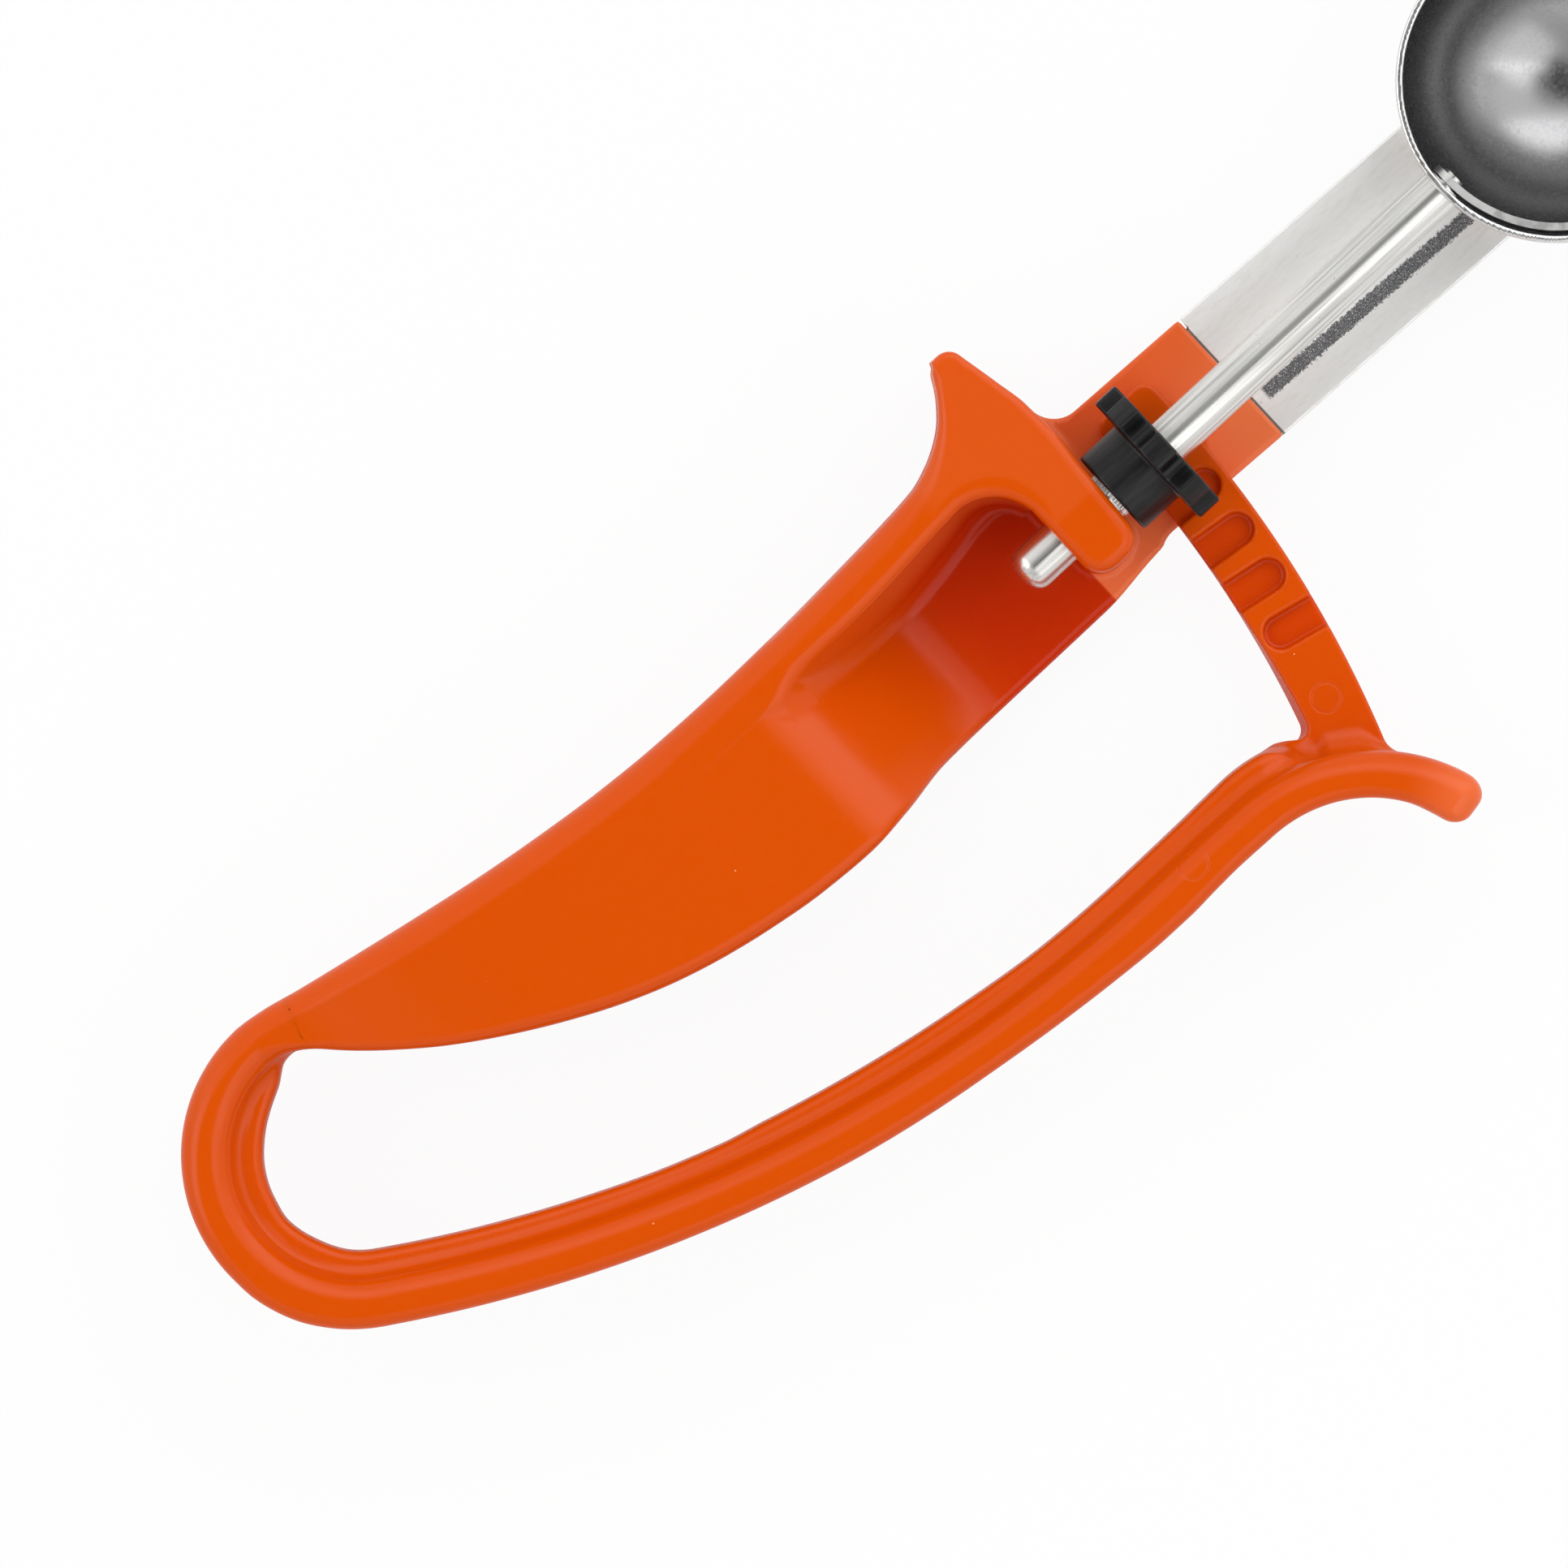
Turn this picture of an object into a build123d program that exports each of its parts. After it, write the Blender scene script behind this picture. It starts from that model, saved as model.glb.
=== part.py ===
"""Squeeze-handle disher: a small bowl on a steel tongue, with a scraper that a rack and pinion turns.

The moulded handle is one springy piece on the real tool. Here it is cut into rigid lengths, because
the tail loop is what bends: the grip, guard and upper loop stand still, the lever and rack swing.

Working frame: the scraper shaft lies along X through the centre of the bowl, the bowl opens to +Z,
and the handle runs to -X. Every piece is moved at the end, so that the origin is under the middle
of the whole tool. All sizes are in millimetres and all angles in degrees.
"""
from build123d import *
import math
import os

# ---- bowl ----
BOWL_RADIUS = 17.45        # inside of the bowl
BOWL_WALL = 0.8
RIM_HEIGHT = 3.6           # rim above the shaft axis

# ---- scraper blade ----
BLADE_GAP = 0.33           # between blade and bowl
BLADE_THICKNESS = 0.85
BLADE_WIDTH = 6.0
BLADE_EYE = 2.2            # radius of the blade's ends, round the shaft axis
BLADE_TAPER = 6.0          # length over which the blade narrows to its eyes
TENON_RADIUS = 1.3         # peened end of the shaft in the blade's root
RIVET_RADIUS = 1.2         # pivot at the bowl's far tip
RIVET_HEAD_RADIUS = 2.2
RIVET_HEAD_HEIGHT = 0.9
KEEPER_RADIUS = 1.8        # peened head inside the blade
KEEPER_HEIGHT = 0.5

# ---- shaft and pinion, with distances measured from the bowl's centre ----
SHAFT_RADIUS = 2.7
SHAFT_TIP_ROUND = 1.3
SHAFT_TAIL = 6.0           # shaft that stands out behind the guard wall
KNURL_HEIGHT = 0.2
PINION_FACE = 60.0
PINION_WIDTH = 3.1
PINION_TEETH = 8
TOOTH_PITCH = 6.2
TOOTH_TIP_WIDTH = 3.0
TOOTH_ROOT_WIDTH = 3.7
TOOTH_DEPTH = 2.45
TIP_RADIUS = 8.8
HUB_RADIUS = 5.4
HUB_LENGTH = 5.5
HUB_GAP = 1.0              # between hub and guard wall, where the knurl shows

# ---- fits ----
RUNNING_GAP = 0.06         # shaft in its bores, blade on its rivet
PRESS_GAP = 0.02           # pinion on its knurl, rivet and tenon in their holes
MOULD_GAP = 0.03           # steel tang in the moulded neck
SLIDE_GAP = 0.35           # arm over the neck, teeth over the pocket floors

# ---- rack arm ----
ARM_WIDTH = 8.1
ARM_SHIFT = 0.65           # middle of the arm beyond the middle of the pinion
ARM_TOP = 7.6              # below the shaft axis
ARM_FLOOR = 1.8            # plastic under the pockets
ARM_OVERRUN = 3.0          # arm's end beyond the line through the lever's pivot
ARM_CORNER = 1.8
ARM_ROOT_TURN = 16.2       # direction of the arm's root from the pivot, below level
ARM_STUB_TURN = 9.0        # length of the root that is moulded with the lever
POCKET_COUNT = 5
POCKET_WIDTH = 3.9
POCKET_WALL = 1.05         # plastic past a pocket's round end

# ---- tongue and neck ----
TONGUE_WIDTH = 17.6
TONGUE_THICKNESS = 1.0
TONGUE_SIDESTEP = 0.93     # tongue's centre line beside the bowl's centre
TONGUE_SKEW = 1.66
GUTTER_HALF_WIDTH = 4.0    # flat middle of the tongue's channel
WING_RISE = 0.6            # edge of the tongue above its middle
TANG_WIDTH = 15.0          # steel inside the neck
WINDOW_RADIUS = 5.7        # hole in the tang, filled by the plastic
SADDLE_WIDTH = 13.0        # pad that hugs the bowl
SADDLE_END = 7.0           # end of the pad, from the bowl's centre
NECK_REACH = 49.6          # end of the plastic neck, from the bowl's centre
NECK_SKIN = 0.6            # plastic over the steel
NECK_THICKNESS = 4.0
NECK_FILLET = 3.4          # between neck and horn

# ---- guard ----
WALL_THICKNESS = 6.9
WALL_LEAN = 1.2            # the horn's root stands forward of the wall's foot
WALL_FOOT = 6.4            # end of the wall beside the shaft
WALL_ROUND = 2.8
GUARD_LENGTH = 14.4        # from the wall's front to the start of the grip
FRONT_HEIGHT = 6.0         # front of grip and guard above the shaft axis
HORN_SETBACK = 2.7         # horn tip's centre behind the wall's front
HORN_SIDE = 23.0           # horn tip's centre beside the shaft axis
HORN_ROUND = 1.95
HORN_BACK_TURN = 144.0     # directions round the horn's tip: end of the palm side, crown, front
HORN_CROWN_TURN = 78.0
HORN_FRONT_TURN = 8.0
PALM_SLOPE = 0.09          # rise of the palm side where the guard meets the grip
HORN_RISE_TURN = 54.0      # direction of the palm side where it reaches the horn's tip
GUARD_EDGE = 1.4           # rounding round the front of the guard

# ---- grip ----
GRIP_LENGTH = 93.6         # from the guard's end to the tail loop
PALM_ROUND = 6.5
FINGER_ROUND = 2.0
TAIL_DEPTH = 6.8           # grip where it meets the tail loop
RECESS_SIDE = 10.5         # recess wall on the palm side
RECESS_CORNER = 5.0
RECESS_LENGTH = 20.5       # flat floor behind the guard wall
RAMP_LENGTH = 15.5         # slope from the floor up to the front of the grip

# ---- tail loop and lever ----
LOOP_RADIUS = 19.8
LOOP_SIDE = 3.3            # loop's centre beside the shaft axis
LOOP_BEHIND_GRIP = 4.4     # loop's centre behind the end of the grip
BAND_WIDTH = 8.85          # raised bead and thinner web together
BEAD_WIDTH = 5.8
BEAD_FRONT = 3.0           # front and back of bead and web, from the shaft axis
BEAD_BACK = -12.0
BEAD_ROUND = 1.5
BEAD_START = 60.0          # direction from the loop's centre, inside the grip
WEB_FRONT = -0.5
WEB_BACK = -8.5
WEB_START = 92.0           # direction from the loop's centre where the web begins
LEVER_LEAVES_LOOP = 237.6  # direction, from the loop's centre
LEVER_RADIUS = 177.5       # long curve of the lever, finger side
FLARE_RADIUS = 16.7        # finger side of the flare
FLARE_TURN = 71.0
FLARE_FROM_ARM = 20.8      # flare's centre, back from the arm's middle
PIVOT_BEHIND_LOOP = 8.0
PIVOT_SIDE = 4.0
SPLIT_GAP = 0.3            # between the fixed and the moving half of the loop

OVERRUN = 1.0              # how far a cut runs past the face it leaves

# ---- sizes that follow ----
PITCH_RADIUS = PINION_TEETH * TOOTH_PITCH / (2 * math.pi)
BOWL_OUTER = BOWL_RADIUS + BOWL_WALL
BLADE_OUTER = BOWL_RADIUS - BLADE_GAP
BLADE_INNER = BLADE_OUTER - BLADE_THICKNESS
PINION_MIDDLE = PINION_FACE + PINION_WIDTH / 2
HUB_START = PINION_FACE + PINION_WIDTH
HUB_END = HUB_START + HUB_LENGTH
WALL_FRONT = HUB_END + HUB_GAP
WALL_BACK = WALL_FRONT + WALL_THICKNESS
SHAFT_END = WALL_BACK + SHAFT_TAIL
GRIP_START = WALL_FRONT + GUARD_LENGTH
GRIP_END = GRIP_START + GRIP_LENGTH
LOOP_X = -(GRIP_END + LOOP_BEHIND_GRIP)
PIVOT_X = LOOP_X - PIVOT_BEHIND_LOOP
MESH_RADIUS = math.hypot(-PINION_MIDDLE - PIVOT_X, PIVOT_SIDE)
MESH_TURN = -math.degrees(math.asin(PIVOT_SIDE / MESH_RADIUS))
POCKET_TURN = math.degrees(TOOTH_PITCH / MESH_RADIUS)
ARM_MIDDLE = MESH_RADIUS + ARM_SHIFT
ARM_INNER = ARM_MIDDLE - ARM_WIDTH / 2
ARM_OUTER = ARM_MIDDLE + ARM_WIDTH / 2
POCKET_FLOOR = -(TIP_RADIUS + SLIDE_GAP)
ARM_BOTTOM = POCKET_FLOOR - ARM_FLOOR
NECK_TOP = ARM_BOTTOM - SLIDE_GAP
NECK_BOTTOM = NECK_TOP - NECK_THICKNESS
GUTTER_TOP = NECK_TOP - NECK_SKIN - WING_RISE
FLARE_X = PIVOT_X + ARM_MIDDLE - FLARE_FROM_ARM

# Grip stations: distance behind the guard, finger side, palm side, front, back and palm rounding.
# The first three bound the recess; from the third on, the finger side swells and then tapers.
GRIP_STATIONS = [
    (0.0, -9.4, 16.0, FRONT_HEIGHT, NECK_BOTTOM, PALM_ROUND / 2),
    (10.0, -9.4, 14.9, FRONT_HEIGHT, NECK_BOTTOM, PALM_ROUND),
    (21.0, -9.6, 14.5, FRONT_HEIGHT, NECK_BOTTOM, PALM_ROUND),
    (31.0, -11.2, 14.2, FRONT_HEIGHT, NECK_BOTTOM, PALM_ROUND),
    (47.0, -9.8, 14.6, FRONT_HEIGHT, NECK_BOTTOM, PALM_ROUND),
    (66.0, -4.0, 17.0, FRONT_HEIGHT, NECK_BOTTOM, PALM_ROUND),
    (80.0, 3.8, 19.5, FRONT_HEIGHT - 0.8, NECK_BOTTOM + 0.8, PALM_ROUND - 1.5),
    (88.0, 10.1, 21.1, FRONT_HEIGHT - 1.8, NECK_BOTTOM + 2.0, PALM_ROUND - 3.0),
]


# ---- shapes used more than once ----
def along_x(profile, x_from, x_to):
    """Extrude a profile, drawn with Y across and Z up, between two stations on X."""
    return extrude(Plane.YZ.offset(min(x_from, x_to)) * profile, amount=abs(x_to - x_from))


def rod(radius, x_from, x_to):
    """Round bar on the shaft axis."""
    return along_x(Circle(radius), x_from, x_to)


def slab(outline, z_from, z_to):
    """Extrude a flat outline between two heights."""
    return extrude(Plane.XY.offset(z_from) * outline, amount=z_to - z_from)


def block(x_from, x_to, y_from, y_to, z_from, z_to):
    """Box between two stations on each axis."""
    centre = Pos((x_from + x_to) / 2, (y_from + y_to) / 2, (z_from + z_to) / 2)
    return centre * Box(abs(x_to - x_from), abs(y_to - y_from), abs(z_to - z_from))


def ring_sector(centre, inner, outer, start, end):
    """Flat piece of a ring about a centre, from one direction to another."""
    inside = CenterArc(centre, inner, start, end - start)
    outside = CenterArc(centre, outer, start, end - start)
    return make_face([inside, outside, Line(inside @ 0, outside @ 0), Line(inside @ 1, outside @ 1)])


def polar(centre, radius, direction):
    """Point at a distance and direction from a centre."""
    turn = math.radians(direction)
    return (centre[0] + radius * math.cos(turn), centre[1] + radius * math.sin(turn))


def on_tongue(shape):
    """Turn a shape drawn along X onto the tongue's own centre line."""
    return Location((0, -TONGUE_SIDESTEP, 0), (0, 0, -TONGUE_SKEW)) * shape


# ---- bowl and scraper ----
def cup(radius, top):
    """Solid half ball with a straight band up to a height."""
    wide = radius + OVERRUN
    return Sphere(radius) - block(-wide, wide, -wide, wide, 0, wide) + slab(Circle(radius), 0, top)


def bowl():
    """Spun bowl, pierced for the shaft and for the rivet."""
    shell = cup(BOWL_OUTER, RIM_HEIGHT) - cup(BOWL_RADIUS, RIM_HEIGHT + BOWL_WALL)
    shell -= rod(SHAFT_RADIUS + RUNNING_GAP, -BOWL_OUTER - OVERRUN, 0)
    shell -= rod(RIVET_RADIUS + PRESS_GAP, 0, BOWL_OUTER + OVERRUN)
    return shell


def blade():
    """Strip of a thin ball shell on one side of the shaft axis, with an eye at each end."""
    half = BLADE_WIDTH / 2
    strip = Polyline(
        (0, BLADE_EYE),
        (-BLADE_TAPER, half),
        (-BOWL_RADIUS, half),
        (-BOWL_RADIUS, -half),
        (-BLADE_TAPER, -half),
        (0, -BLADE_EYE),
        (0, BLADE_EYE),
    )
    outline = make_face(strip) + Circle(BLADE_EYE)
    shell = Sphere(BLADE_OUTER) - Sphere(BLADE_INNER)
    shell &= along_x(outline, -BOWL_RADIUS, BOWL_RADIUS)
    shell -= rod(TENON_RADIUS + PRESS_GAP, -BOWL_RADIUS, 0)
    shell -= rod(RIVET_RADIUS + RUNNING_GAP, 0, BOWL_RADIUS)
    return shell


def rivet():
    """Pivot pin through the bowl's far tip, with a domed head outside and a keeper inside."""
    keeper = math.sqrt(BLADE_INNER**2 - KEEPER_RADIUS**2) - PRESS_GAP
    head = rod(RIVET_HEAD_RADIUS, BOWL_OUTER + PRESS_GAP, BOWL_OUTER + RIVET_HEAD_HEIGHT)
    head = fillet(head.edges().sort_by(Axis.X)[-1], RIVET_HEAD_HEIGHT / 2)
    pin = rod(RIVET_RADIUS, keeper - KEEPER_HEIGHT, BOWL_OUTER + RIVET_HEAD_HEIGHT / 2)
    return head + pin + rod(KEEPER_RADIUS, keeper - KEEPER_HEIGHT, keeper)


# ---- shaft and pinion ----
def shaft():
    """Steel rod with a rounded tail, a raised knurled stretch and a peened tenon."""
    bar = rod(SHAFT_RADIUS, -SHAFT_END, -BLADE_OUTER)
    bar = fillet(bar.edges().sort_by(Axis.X)[0], SHAFT_TIP_ROUND)
    peen = math.sqrt(BLADE_INNER**2 - KEEPER_RADIUS**2) - PRESS_GAP
    bar += rod(SHAFT_RADIUS + KNURL_HEIGHT, -HUB_END - HUB_GAP / 3, -PINION_MIDDLE)
    bar += rod(TENON_RADIUS, -BLADE_OUTER - OVERRUN, -peen)
    bar += rod(KEEPER_RADIUS, -peen, -peen + KEEPER_HEIGHT)
    return bar


def tooth():
    """One pinion tooth, pointing down, drawn with Y across and Z up."""
    root = -(TIP_RADIUS - TOOTH_DEPTH - OVERRUN)
    tip = -(TIP_RADIUS + OVERRUN)
    outline = Polyline(
        (-TOOTH_ROOT_WIDTH / 2, root),
        (TOOTH_ROOT_WIDTH / 2, root),
        (TOOTH_TIP_WIDTH / 2, tip),
        (-TOOTH_TIP_WIDTH / 2, tip),
        (-TOOTH_ROOT_WIDTH / 2, root),
    )
    return make_face(outline)


def pinion():
    """Toothed wheel and its hub, pressed on the knurl."""
    gear = Circle(TIP_RADIUS - TOOTH_DEPTH)
    for index in range(PINION_TEETH):
        gear += Rot(0, 0, index * 360 / PINION_TEETH) * tooth()
    gear &= Circle(TIP_RADIUS)
    wheel = along_x(gear, -HUB_START, -PINION_FACE)
    wheel += rod(HUB_RADIUS, -HUB_END, -HUB_START)
    wheel -= rod(SHAFT_RADIUS + KNURL_HEIGHT + PRESS_GAP, -HUB_END, -PINION_MIDDLE + PRESS_GAP)
    wheel -= rod(SHAFT_RADIUS + PRESS_GAP, -HUB_END, -PINION_FACE)
    return wheel


# ---- tongue ----
def channel(width, swell=0.0):
    """Cross-section of the sheet: a flat gutter with wings that rise to its edges."""
    slope = WING_RISE / (TONGUE_WIDTH / 2 - GUTTER_HALF_WIDTH)
    half = width / 2 + swell
    rise = slope * (half - GUTTER_HALF_WIDTH)
    top = GUTTER_TOP + swell
    base = GUTTER_TOP - TONGUE_THICKNESS - swell
    corners = [
        (-half, top + rise),
        (-GUTTER_HALF_WIDTH, top),
        (GUTTER_HALF_WIDTH, top),
        (half, top + rise),
        (half, base + rise),
        (GUTTER_HALF_WIDTH, base),
        (-GUTTER_HALF_WIDTH, base),
        (-half, base + rise),
    ]
    return make_face(Polyline(*corners, corners[0]))


def tang(swell=0.0):
    """Narrower stretch of the sheet that lies inside the neck, with its round window."""
    strip = along_x(channel(TANG_WIDTH, swell), -WALL_BACK - swell, -NECK_REACH)
    window = Pos(-PINION_MIDDLE, 0, 0) * slab(Circle(WINDOW_RADIUS - swell), NECK_BOTTOM, NECK_TOP)
    return strip - window


def tongue():
    """Steel strip from the neck to the bowl, with a formed pad that hugs the bowl."""
    strip = along_x(channel(TONGUE_WIDTH), -NECK_REACH, -SADDLE_END) + tang()
    half = SADDLE_WIDTH / 2
    reach = block(-BOWL_OUTER, -SADDLE_END, -half, half, -BOWL_OUTER * 2, GUTTER_TOP)
    saddle = Sphere(BOWL_OUTER + TONGUE_THICKNESS) & reach
    return on_tongue(strip + saddle) - Sphere(BOWL_OUTER + PRESS_GAP)


# ---- guard and grip ----
def recess():
    """Space scooped from the front of the handle, open on the finger side, with a ramp at its end."""
    foot = -(WALL_BACK + RECESS_LENGTH)
    above = FRONT_HEIGHT + OVERRUN
    finger_side = min(station[1] for station in GRIP_STATIONS)
    lean = RAMP_LENGTH / (FRONT_HEIGHT - NECK_TOP)
    outline = Polyline(
        (-WALL_BACK, NECK_TOP),
        (foot, NECK_TOP),
        (foot - lean * (above - NECK_TOP), above),
        (-WALL_BACK, above),
        (-WALL_BACK, NECK_TOP),
    )
    face = Plane.XZ.offset(-RECESS_SIDE) * make_face(outline)
    scoop = extrude(face, amount=RECESS_SIDE - finger_side + OVERRUN)
    corner = scoop.edges().filter_by(Axis.Z).sort_by(Axis.Y)[-1]
    return fillet(corner, RECESS_CORNER)


def horn_root():
    """Point on the wall's front where the horn begins, clear of the fillet beside the neck."""
    return (-WALL_FRONT + WALL_LEAN, TONGUE_WIDTH / 2 + NECK_FILLET + 2 * TONGUE_SIDESTEP)


def guard_outline():
    """Wall, thumb horn and palm side of the guard seen from the front, round the recess's corner."""
    tip = (-WALL_FRONT - HORN_SETBACK, HORN_SIDE)
    palm = GRIP_STATIONS[0][2]
    start = (-GRIP_START, palm)
    back = polar(tip, HORN_ROUND, HORN_BACK_TURN)
    crown = polar(tip, HORN_ROUND, HORN_CROWN_TURN)
    front = polar(tip, HORN_ROUND, HORN_FRONT_TURN)
    sweep_in = Spline(start, back, tangents=[(1, PALM_SLOPE), polar((0, 0), 1, HORN_RISE_TURN)])
    nose = ThreePointArc(back, crown, front)
    foot = (-WALL_FRONT, -WALL_FOOT)
    inner = (-WALL_BACK, RECESS_SIDE)
    heel = (-WALL_BACK, -WALL_FOOT)
    rest = Polyline(front, horn_root(), foot, heel, inner, (-GRIP_START, RECESS_SIDE), start)
    outline = make_face([sweep_in, nose] + rest.edges())
    outline = fillet(outline.vertices().sort_by_distance((*inner, 0))[0], RECESS_CORNER)
    return fillet(outline.vertices().sort_by(Axis.Y)[:2], WALL_ROUND)


def base_outline():
    """Floor under the guard together with the neck, seen from the front."""
    low = GRIP_STATIONS[0][1]
    palm = GRIP_STATIONS[0][2]
    root = horn_root()
    corners = [
        (-GRIP_START, low),
        (-WALL_BACK + WALL_ROUND, low),
        (-WALL_FRONT, -TONGUE_WIDTH / 2),
        (-HUB_START, -TONGUE_WIDTH / 2 + TONGUE_SIDESTEP),
        (root[0], 0),
        root,
        (-GRIP_START, palm),
    ]
    neck = Pos((-WALL_FRONT - NECK_REACH) / 2, 0) * Rectangle(WALL_FRONT - NECK_REACH, TONGUE_WIDTH)
    outline = make_face(Polyline(*corners, corners[0])) + on_tongue(neck)
    corner = outline.vertices().sort_by_distance((root[0], TONGUE_WIDTH / 2 + TONGUE_SIDESTEP, 0))
    return fillet(corner[0], NECK_FILLET)


def guard():
    """Thumb horn, bearing wall and neck, bored for the shaft and slotted for the tang."""
    upright = slab(guard_outline(), NECK_BOTTOM, FRONT_HEIGHT)
    free_edges = upright.edges().group_by(Axis.Z)[-1].sort_by(Axis.X)[1:]
    upright = fillet(free_edges, GUARD_EDGE)
    body = upright + slab(base_outline(), NECK_BOTTOM, NECK_TOP)
    body -= on_tongue(tang(MOULD_GAP))
    body -= rod(SHAFT_RADIUS + RUNNING_GAP, -GRIP_START, -WALL_FRONT + HUB_GAP)
    return body


def grip_section(behind, low, palm, front, back, palm_round):
    """One cross-section of the grip, flat in front and full on the palm side."""
    shape = Rectangle(palm - low, front - back)
    shape = fillet(shape.vertices().sort_by(Axis.X)[-2:], palm_round)
    shape = fillet(shape.vertices().sort_by(Axis.X)[:2], FINGER_ROUND)
    middle = Pos((palm + low) / 2, (front + back) / 2)
    return Plane.YZ.offset(-GRIP_START - behind) * (middle * shape)


def grip():
    """Palm grip, from the guard to the tail loop, with the rest of the recess."""
    top = LOOP_SIDE + math.sqrt(LOOP_RADIUS**2 - LOOP_BEHIND_GRIP**2)
    tail = (GRIP_LENGTH, top - TAIL_DEPTH, top, BEAD_FRONT, BEAD_BACK, BEAD_ROUND)
    sections = [grip_section(*station) for station in GRIP_STATIONS + [tail]]
    return loft(sections[:3]) + loft(sections[2:]) - recess()


# ---- tail loop, lever and rack ----
def long_centre():
    """Centre of the lever's long curve, which carries on from the loop without a kink."""
    return polar((LOOP_X, LOOP_SIDE), LOOP_RADIUS - LEVER_RADIUS, LEVER_LEAVES_LOOP)


def flare_centre():
    """Centre of the finger flare's arc, below the straight end of the lever."""
    return (FLARE_X, long_centre()[1] - LEVER_RADIUS - FLARE_RADIUS)


def band(near, far, start):
    """Flat outline of part of the loop and lever, between two distances from its outer edge."""
    turn, base = long_centre()
    base -= LEVER_RADIUS
    loop = (LOOP_X, LOOP_SIDE)
    outline = ring_sector(loop, LOOP_RADIUS - far, LOOP_RADIUS - near, start, LEVER_LEAVES_LOOP)
    outline += ring_sector(long_centre(), LEVER_RADIUS - far, LEVER_RADIUS - near, LEVER_LEAVES_LOOP, 270)
    straight = [(turn, base + near), (FLARE_X, base + near), (FLARE_X, base + far), (turn, base + far)]
    outline += make_face(Polyline(*straight, straight[0]))
    outline += ring_sector(flare_centre(), FLARE_RADIUS + near, FLARE_RADIUS + far, 90 - FLARE_TURN, 90)
    return outline


def bead():
    """Raised outer rib of loop and lever, with a round end on the finger flare."""
    end = polar(flare_centre(), FLARE_RADIUS + BEAD_WIDTH / 2, 90 - FLARE_TURN)
    outline = band(0, BEAD_WIDTH, BEAD_START) + Pos(*end) * Circle(BEAD_WIDTH / 2)
    solid = slab(outline, BEAD_BACK, BEAD_FRONT)
    edges = solid.edges().group_by(Axis.Z)
    return fillet(edges[0] + edges[-1], BEAD_ROUND)


def arm_sector(start, end):
    """Stretch of the rack arm, which is part of a ring about the lever's pivot."""
    outline = ring_sector((PIVOT_X, PIVOT_SIDE), ARM_INNER, ARM_OUTER, start, end)
    return slab(outline, ARM_BOTTOM, -ARM_TOP)


def moulded_band():
    """The whole of loop and lever, before the loop is split."""
    web = slab(band(BEAD_WIDTH, BAND_WIDTH, WEB_START), WEB_BACK, WEB_FRONT)
    past_arm = ring_sector((PIVOT_X, PIVOT_SIDE), ARM_INNER, ARM_OUTER * 2, -2 * ARM_ROOT_TURN, 0)
    web -= slab(past_arm, BEAD_BACK, BEAD_FRONT)
    stub = arm_sector(-ARM_ROOT_TURN - ARM_STUB_TURN, -ARM_ROOT_TURN)
    stub -= slab(Pos(*flare_centre()) * Circle(FLARE_RADIUS + BEAD_WIDTH / 2), BEAD_BACK, BEAD_FRONT)
    return bead() + web + stub


def fixed_side():
    """Space on the side of the loop that stays with the grip."""
    far = LOOP_RADIUS * 2
    back = BEAD_BACK - OVERRUN
    front = BEAD_FRONT + OVERRUN
    return block(PIVOT_X - far, PIVOT_X + far, PIVOT_SIDE, PIVOT_SIDE + far, back, front)


def tail_loop():
    """Upper half of the tail loop, which belongs to the grip."""
    half = moulded_band() & (Pos(0, SPLIT_GAP / 2, 0) * fixed_side())
    return half - block(-GRIP_END, 0, 0, LOOP_RADIUS * 2, BEAD_BACK - OVERRUN, BEAD_FRONT + OVERRUN)


def lever():
    """Lower half of the loop, the squeeze lever, its finger flare and the arm's root."""
    return moulded_band() - (Pos(0, -SPLIT_GAP / 2, 0) * fixed_side())


def pocket(index):
    """Slot for one pinion tooth; all but the last open towards the grip."""
    turn = MESH_TURN - index * POCKET_TURN
    half = POCKET_WIDTH / 2
    outward = index < POCKET_COUNT - 1
    closed_end = ARM_OUTER - POCKET_WALL - half if outward else ARM_INNER + POCKET_WALL + half
    open_end = ARM_INNER - OVERRUN if outward else ARM_OUTER + OVERRUN
    outline = Pos(closed_end, 0) * Circle(half)
    outline += Pos((closed_end + open_end) / 2, 0) * Rectangle(abs(closed_end - open_end), POCKET_WIDTH)
    placed = Pos(PIVOT_X, PIVOT_SIDE) * Rot(0, 0, turn) * outline
    return slab(placed, POCKET_FLOOR, 0)


def rack_arm():
    """Arm that slides under the pinion, with its row of tooth pockets."""
    tip = math.degrees(math.asin(ARM_OVERRUN / ARM_MIDDLE))
    arm = arm_sector(-ARM_ROOT_TURN, tip)
    arm = fillet(arm.edges().filter_by(Axis.Z).sort_by(Axis.Y)[-2:], ARM_CORNER)
    for index in range(POCKET_COUNT):
        arm -= pocket(index)
    return arm


# ---- the whole tool ----
def build():
    """Make every piece, stand the tool over its origin and write one STEP file for each."""
    pieces = {
        "bowl": bowl(),
        "scraper_blade": blade(),
        "blade_rivet": rivet(),
        "drive_shaft": shaft(),
        "pinion": pinion(),
        "tongue": tongue(),
        "guard": guard(),
        "palm_grip": grip(),
        "tail_loop": tail_loop(),
        "squeeze_lever": lever(),
        "rack_arm": rack_arm(),
    }
    box = Compound(children=[Compound(piece.solids()) for piece in pieces.values()]).bounding_box()
    foot = Pos(-box.center().X, -box.center().Y, -box.min.Z)
    os.makedirs("parts", exist_ok=True)
    for name, piece in pieces.items():
        export_step(Compound(children=[foot * solid for solid in piece.solids()]), f"parts/{name}.step")
    print("origin below the bowl's centre by", foot.position)


build()
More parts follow.
